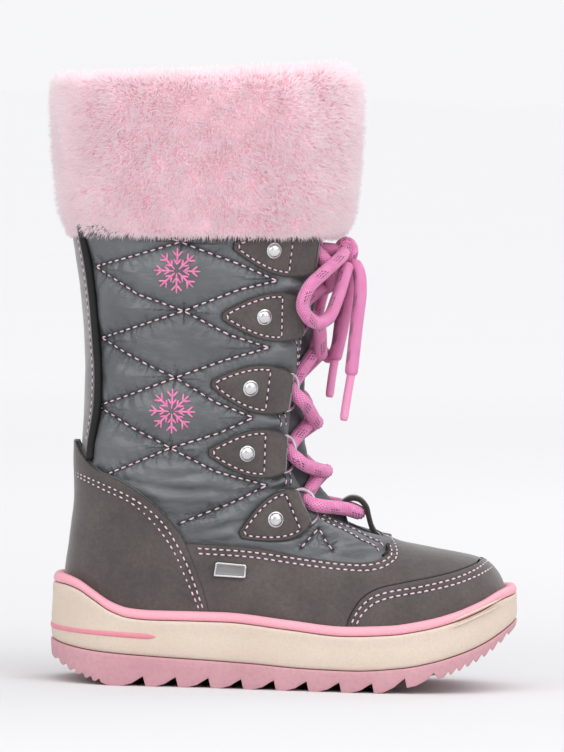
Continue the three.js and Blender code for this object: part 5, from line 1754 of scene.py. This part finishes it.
# The grid runs along the tab's axis and across it, and its last rows round down in front of the bar
def makeTab(i, side):
    tab = tabPlan["rows"][i]
    bar, up, reach, out = uprightFrame(i, side)
    seat, skin = tabPlan["seat"], tabPlan["skin"]
    barAt = tab[3] - ringPlan["inset"]
    near = np.array([0, 0.1, 0.3, 0.6, 1.0])
    along = np.concatenate([-tab[4] + near, np.linspace(-tab[4] + 1.8, barAt - 0.05, 40)])
    shares = np.concatenate([near / 10, np.linspace(0.16, 1.84, 25), 2 - near[::-1] / 10]) - 1
    half = tabHalfAt(tab, along) * (1 - 0.08 * smoothstep(along, barAt - 3.5, barAt - 0.5))
    upAt = half[:, None] * shares
    alongAt = np.broadcast_to(along[:, None], upAt.shape)
    base, outward, height = tabTop(tab, side, alongAt, upAt)
    fromEdge = np.minimum(half[:, None] * (1 - np.abs(shares)), (along + tab[4])[:, None])
    inset, stitchLine = tabForm["inset"], tabForm["stitchLine"]
    groove = np.exp(-(((fromEdge - inset) / 0.6) ** 2)) * (alongAt < stitchLine + 0.6)
    groove = np.maximum(groove, np.exp(-(((alongAt - stitchLine) / 0.6) ** 2)) * (fromEdge > inset))
    pillow = 0.45 * smoothstep(fromEdge, inset, 6) * (1 - smoothstep(alongAt, 6.0, 8.2)) - 0.26 * groove
    grain = 0.07 * waves(base, 6, 71 + i)
    top = base + outward * (height - skin * (1 - edgeRound(fromEdge)) + pillow + grain)[..., None]
    under = base + outward * seat
    # the fold in front of the bar
    angle = np.radians([8, 28, 50, 72, 95, 120, 145, 168])[:, None]
    radius = tabForm["foldTop"] * (1 - 0.16 * np.abs(shares) ** 6)
    axis = bar + up * upAt[-1][:, None]
    fold = axis + reach * (radius * np.sin(angle))[..., None] + out * (radius * np.cos(angle))[..., None]
    inner = (fold[-1] - reach * 0.4 - under[-1]) * np.linspace(0, 0.85, len(angle))[:, None, None]
    top, under = np.concatenate([top, fold]), np.concatenate([under, under[-1] + inner])
    outward = np.concatenate([outward, unit(fold - axis)])
    fromEdge = np.concatenate([fromEdge, np.broadcast_to(fromEdge[-1], fold.shape[:2])])
    groove = np.concatenate([groove, np.zeros(fold.shape[:2])])
    # the cut edge dark, its own colour with painted shade beside it, and painted shade in the stitch grooves
    edge = np.maximum(np.exp(-((fromEdge / 0.6) ** 2)), 0.4 * groove)
    shade = dict(edge=np.concatenate([edge.ravel(), np.ones(edge.size)]))
    label = labelOf(i, side)
    makeShell(f"tab_leather_{label}", top, under, outward, "suede", f"lace_tab_{label}", shade)

    # its stitches: round the point, and straight across behind the ring
    a = np.linspace(-tab[4] + 2.8, stitchLine, 60)
    h = np.maximum(tabHalfAt(tab, a) - inset, 0.2)
    aroundPoint = np.stack([np.concatenate([a[::-1], a[1:]]), np.concatenate([h[::-1], -h[1:]])], -1)
    straight = np.stack([np.full(12, stitchLine), np.linspace(h[-1], -h[-1], 12)], -1)
    for rows in (aroundPoint, straight):
        flat = smoothPath(rows, 0.8)
        _, z = onTab(tab, flat[:, 0], flat[:, 1])
        flat = flat[z < 211.5]
        if len(flat) >= 6:
            base, outward, height = tabTop(tab, side, flat[:, 0], flat[:, 1])
            points = base + outward * (height - 0.16)[:, None]
            sew(
                leatherThreads, points, outward, 2.4, 3.1, threadPlan["thinRadius"],
                threadPlan["leatherLift"],
            )


# D rings: a round wire along a straight bar and an arc, whose reach follows the sine's power of 0.8
def makeRing(i, side):
    bar, up, reach, across = ringFrames[side, i]
    wire, corner = ringPlan["wire"], 1.2
    half, span = ringPlan["height"] / 2 - wire, ringPlan["reach"] - 2 * wire
    angle = np.linspace(0, np.pi, 13)
    reachAt = np.concatenate([[0, 0, 0], corner + (span - corner) * np.sin(angle) ** 0.8])
    upAt = np.concatenate([[corner - half, 0, half - corner], half * np.cos(angle)])
    path = smoothPath(np.stack([reachAt, upAt], -1), count=73, loop=True)[:-1]
    points, quads, _, _ = tube(bar + reach * path[:, :1] + up * path[:, 1:], wire, 10, across, loop=True)
    label = labelOf(i, side)
    makePiece(
        f"ring_wire_{label}", points, [roundedOut(points, quads)], "steel", f"lace_ring_{label}",
    )


# A turned piece: a profile of radius and height carried round an axis
def turned(centre, axis, profile, sides=28):
    profile = np.asarray(profile, float)
    helper = np.array([0.0, 0, 1]) if abs(axis[2]) < 0.9 else np.array([1.0, 0, 0])
    first = unit(np.cross(axis, helper))
    second = np.cross(axis, first)
    angle = 2 * np.pi * np.arange(sides) / sides
    ring = first * np.cos(angle)[:, None] + second * np.sin(angle)[:, None]
    points = (
        centre + axis * profile[:, 1, None, None] + ring[None] * profile[:, 0, None, None]
    ).reshape(-1, 3)
    faces = gridCells(len(profile), sides, True).reshape(-1, 4)
    points = np.concatenate([points, [centre + axis * profile[0, 1]], [centre + axis * profile[-1, 1]]])
    corner = np.arange(sides)
    first = np.stack([np.full(sides, len(points) - 2), (corner + 1) % sides, corner], -1)
    start = (len(profile) - 1) * sides
    last = np.stack([np.full(sides, len(points) - 1), start + corner, start + (corner + 1) % sides], -1)
    return points, roundedOut(points, faces), roundedOut(points, np.concatenate([first, last]))


rivetProfile = [
    (0.35, 2.15), (1.1, 2.08), (1.9, 1.86), (2.5, 1.52), (2.95, 1.1), (3.15, 0.7), (3.25, 0.42), (3.5, 0.42),
    (3.72, 0.3), (3.8, 0.05), (3.78, -0.35), (3.4, -0.4),
]


def makeRivet(i, side):
    tab = tabPlan["rows"][i]
    label = labelOf(i, side)
    rise = tabPlan["seat"] + tabPlan["skin"] + 0.3
    v, turn = seenFromSide(tab[0], tab[1], side, rise)
    centre, axis = offsetAt(v, turn, rise), normalAt(v, turn)
    points, faces, triangles = turned(centre, axis, rivetProfile)
    makePiece(f"rivet_cap_{label}", points, [faces, triangles], "steel", f"rivet_{label}")


for side in bothSides:
    for i in range(len(tabPlan["rows"])):
        makeTab(i, side)
        makeRing(i, side)
        makeRivet(i, side)
print("tabs and rings ready")

# The lace: two cords that start in the keeper and pass through the rings of both sides in turn. Each
# goes over a ring's arc into its hole, under the arc and on to the next ring above on the other side.
lacePlan = dict(radius=3.1, keeper=(36.9, 81.3), crossing=4.3, over=2.1, under=-1.4)


def ringStops(i, side):
    bar, up, reach, out = uprightFrame(i, side)
    at = lambda r, o, u: bar + reach * r + out * o + up * u
    coming = [at(13.2, 3.6, -4.8), at(8.4, 3.4, -2.6)]
    going = [at(6.8, -1.9, 1.6), at(11.6, -3.2, 4.6 if i else 1.6)]
    return coming, going


def laceRoute(side):
    x, z = lacePlan["keeper"]
    stops = [(x, side * -1.0, z), (x, side * 4.0, z), (x - 6, side * 9.5, z + 2)]
    for i in range(4, -1, -1):
        coming, going = ringStops(i, side)
        stops += coming + going
        if i:
            # the crossing, on the rib whose front is half way up to the next ring
            height = (going[-1][2] + ringStops(i - 1, -side)[0][0][2]) / 2
            low, high = 0.0, 17.0
            for _ in range(26):
                v = (low + high) / 2
                low, high = (v, high) if ribAt(v)["frontZ"] > height else (low, v)
            rise = np.array(lacePlan["crossing"] + lacePlan["over" if side == innerSide else "under"])
            stops += [offsetAt(np.array(low), turnAt(low, sideways * side), rise) for sideways in (2.8, -2.8)]
        side = -side
    stops.append(bowPoints([bowPlan["knot"]])[0] + (-1.5, 0, 0))
    path = smoothPath(np.array(stops, float), spacing=1.1)
    for _ in range(3):
        path[1:-1] = 0.25 * path[:-2] + 0.5 * path[1:-1] + 0.25 * path[2:]
    return path


def makeLace():
    crossings = [f"lace_crossing_{i}" for i in (1, 2, 3, 4)]
    for name, side, nodes in (
        ("lace_run_outer", outerSide, crossings), ("lace_run_inner", innerSide, ["lace_lowest_bar"]),
    ):
        part = laceTube(laceRoute(side), lacePlan["radius"], (0.15, 0, 1))
        makeTubes(name, [part], "lace", nodes, True)
    # the knot: a turn of the lace round a full middle
    centre = bowPoints([bowPlan["knot"]])[0]
    angle = np.linspace(0, 2 * np.pi, 60, endpoint=False)
    wrap = centre + np.stack([3.1 * np.cos(angle) + 0.6, 0.9 * np.sin(angle * 2), 4.2 * np.sin(angle)], -1)
    ribs = 1 + 0.035 * np.cos(12 * np.linspace(0, 2 * np.pi, 36, endpoint=False))
    t = np.linspace(0, 1, 13)
    core = centre + np.stack([0.6 * t, 11.2 * t - 5.6, 0.8 * np.sin(6 * t)], -1)
    parts = [tube(wrap, 2.6 * ribs[None], 36, (0, 1, 0), loop=True), laceTube(core, 3.0, (0, 0, 1))]
    makeTubes("knot_lace", parts, "lace", "lace_knot", True)


makeLace()


# The keeper: a leather strap bent into a loop over the lowest bar
def makeKeeper():
    path = smoothPath([
        (45.4, 0, 71.0), (43.0, 0, 75.2), (41.6, 0, 79.8), (40.4, 0, 84.0), (37.2, 0, 87.4), (33.2, 0, 88.0),
        (30.0, 0, 86.2), (27.6, 0, 83.2),
    ], 0.8)
    angle = 2 * np.pi * np.arange(28) / 28
    radius = 1 / ((np.abs(np.cos(angle)) / 1.25) ** 6 + (np.abs(np.sin(angle)) / 6.8) ** 6) ** (1 / 6)
    edge = np.append(np.tile((np.abs(np.sin(angle)) > 0.93) * 0.8, len(path)), [0.0, 0.0])
    strap = tube(path, radius[None], 28, (0, 1, 0))
    makeTubes("keeper_strap", [strap], "suede", "lace_keeper", attributes={"edge": edge})


makeKeeper()


# Piping: a black cord along the backstay's edge on both sides, with a row of stitches behind it, and at
# the foot of the throat a black cord for the vamp's dark cut edge and the painted shade in the gap beneath it
def makePiping():
    parts = []
    stay = [[x + 1.4, z] for x, z in pipingEdge]
    # a black cord at the foot of the throat: the vamp's dark cut edge, and painted shade in the gap beneath
    # it
    throatEdgeAndShade = [(48.8, 62.6), (51.2, 64.9), (50.8, 67.2), (48.4, 70.2), (45.4, 73.8)]
    lift = leatherPlan["seat"] + leatherPlan["staySkin"]
    for side in bothSides:
        for line, radius, rise in ((stay, 2.0, 2.2), (throatEdgeAndShade, 0.95, 1.3)):
            points, v, turn, _ = laidPath(line, side, 1.2, rise, True)
            keep = points[:, 2] < 214
            parts.append(tube(offsetAt(v[keep], turn[keep], rise), radius, 12, normalAt(v[keep], turn[keep])))
        points, v, turn, _ = laidPath([[x - 1.5, z] for x, z in pipingEdge[:-1]], side, 1.0, lift, True)
        keep = points[:, 2] < 211
        outward = normalAt(v[keep], turn[keep])
        points = points[keep] + outward * (lift - 0.1)
        sew(leatherThreads, points, outward, 2.6, 3.4, threadPlan["thinRadius"], threadPlan["leatherLift"])
    makeTubes("piping_black", parts, "blackTrim", flowing=True)


makePiping()
sewQuilt()
sewFacing()
sewLeather()


def makeThreads():
    makeTubes("quilt_stitches", nylonThreads, "thread")
    makeTubes("leather_stitches", leatherThreads, "thread")
    # the dark tubes of painted shade under the stitches
    makeTubes("stitch_shade_tubes", stitchShadeTubes, "stitchShade")


# Snowflakes with eight arms, each a stem with two pairs of barbs, worked in raised satin stitch
flakePlan = dict(
    places=[(-50.3, 193.8), (-51.0, 128.5)], hub=1.3, radius=10.3, width=0.5,
    barbs=((6.6, 3.1, 42), (3.2, 2.5, 38)),  # distance from the middle, length, angle to the stem
)


def makeSnowflakes():
    wayOf = lambda angle: np.array([math.cos(angle), math.sin(angle)])
    starts, ends = [], []
    for k in range(8):
        angle = k * math.pi / 4
        starts.append(wayOf(angle) * flakePlan["hub"])
        ends.append(wayOf(angle) * flakePlan["radius"])
        for at, reach, spread in flakePlan["barbs"]:
            for sign in (-1, 1):
                starts.append(wayOf(angle) * at)
                ends.append(starts[-1] + wayOf(angle + sign * math.radians(spread)) * reach)
    starts, ends = np.array(starts), np.array(ends)
    length = np.linalg.norm(ends - starts, axis=1)
    step = (ends - starts) / length[:, None]
    parts = []
    for side in bothSides:
        for place in flakePlan["places"]:
            middle = (starts + ends) / 2 + place
            points, outward = laidOnNylon(middle[:, 0], middle[:, 1], side)
            ahead, _ = laidOnNylon(middle[:, 0] + step[:, 0], middle[:, 1] + step[:, 1], side)
            along = unit(ahead - points)
            normals = unit(outward - along * (outward * along).sum(-1, keepdims=True))
            centre = points + outward * 0.25
            for low in np.unique(np.round(length, 3)):
                pick = np.abs(length - low) < 0.01
                parts.append(capsules(
                    centre[pick], along[pick], normals[pick], low + 1.2, flakePlan["width"], 0.75, 8, 0.1
                ))
    makeTubes("snowflakes", parts, "embroidery")


makeThreads()
makeSnowflakes()
print("sewing ready")


# The metal badge: a plate with a raised rim, left bare
def makeBadge():
    corners = np.array([[-29.7, 52.2], [-15.6, 51.6], [-15.3, 57], [-28.9, 58]])
    share = np.concatenate([[0, 0.02, 0.05, 0.1, 0.13], np.linspace(0.2, 0.8, 7), [0.87, 0.9, 0.95, 0.98, 1]])
    tall = np.concatenate(
        [[0, 0.05, 0.13, 0.22, 0.29], np.linspace(0.4, 0.6, 3), [0.71, 0.78, 0.87, 0.95, 1]]
    )
    a, b = np.meshgrid(share, tall, indexing="ij")
    weights = np.stack([(1 - a) * (1 - b), a * (1 - b), a * b, (1 - a) * b], -1)
    flat = weights @ corners
    v, turn = seenFromSide(flat[..., 0], flat[..., 1], outerSide, 3)
    base, outward = surfaceAt(v, turn), normalAt(v, turn)
    fromEdge = np.minimum(np.minimum(a, 1 - a) * 14.2, np.minimum(b, 1 - b) * 5.6)
    rim = smoothstep(fromEdge, 0, 0.35) - 0.75 * smoothstep(fromEdge, 0.95, 1.35)
    top = base + outward * (2.5 + 0.75 * rim)[..., None]
    makeShell("badge_metal", top, base + outward * 1.95, outward, "badge", "badge_plate")
    line = straightPath(np.concatenate([corners, corners[:1]]), 0.8)[:-1]
    v, turn = seenFromSide(line[:, 0], line[:, 1], outerSide, 3)
    points, quads, _, _ = tube(offsetAt(v, turn, 3.1), 0.5, 8, normalAt(v, turn), loop=True)
    makePiece("badge_rim", points, [roundedOut(points, quads)], "steel")


makeBadge()
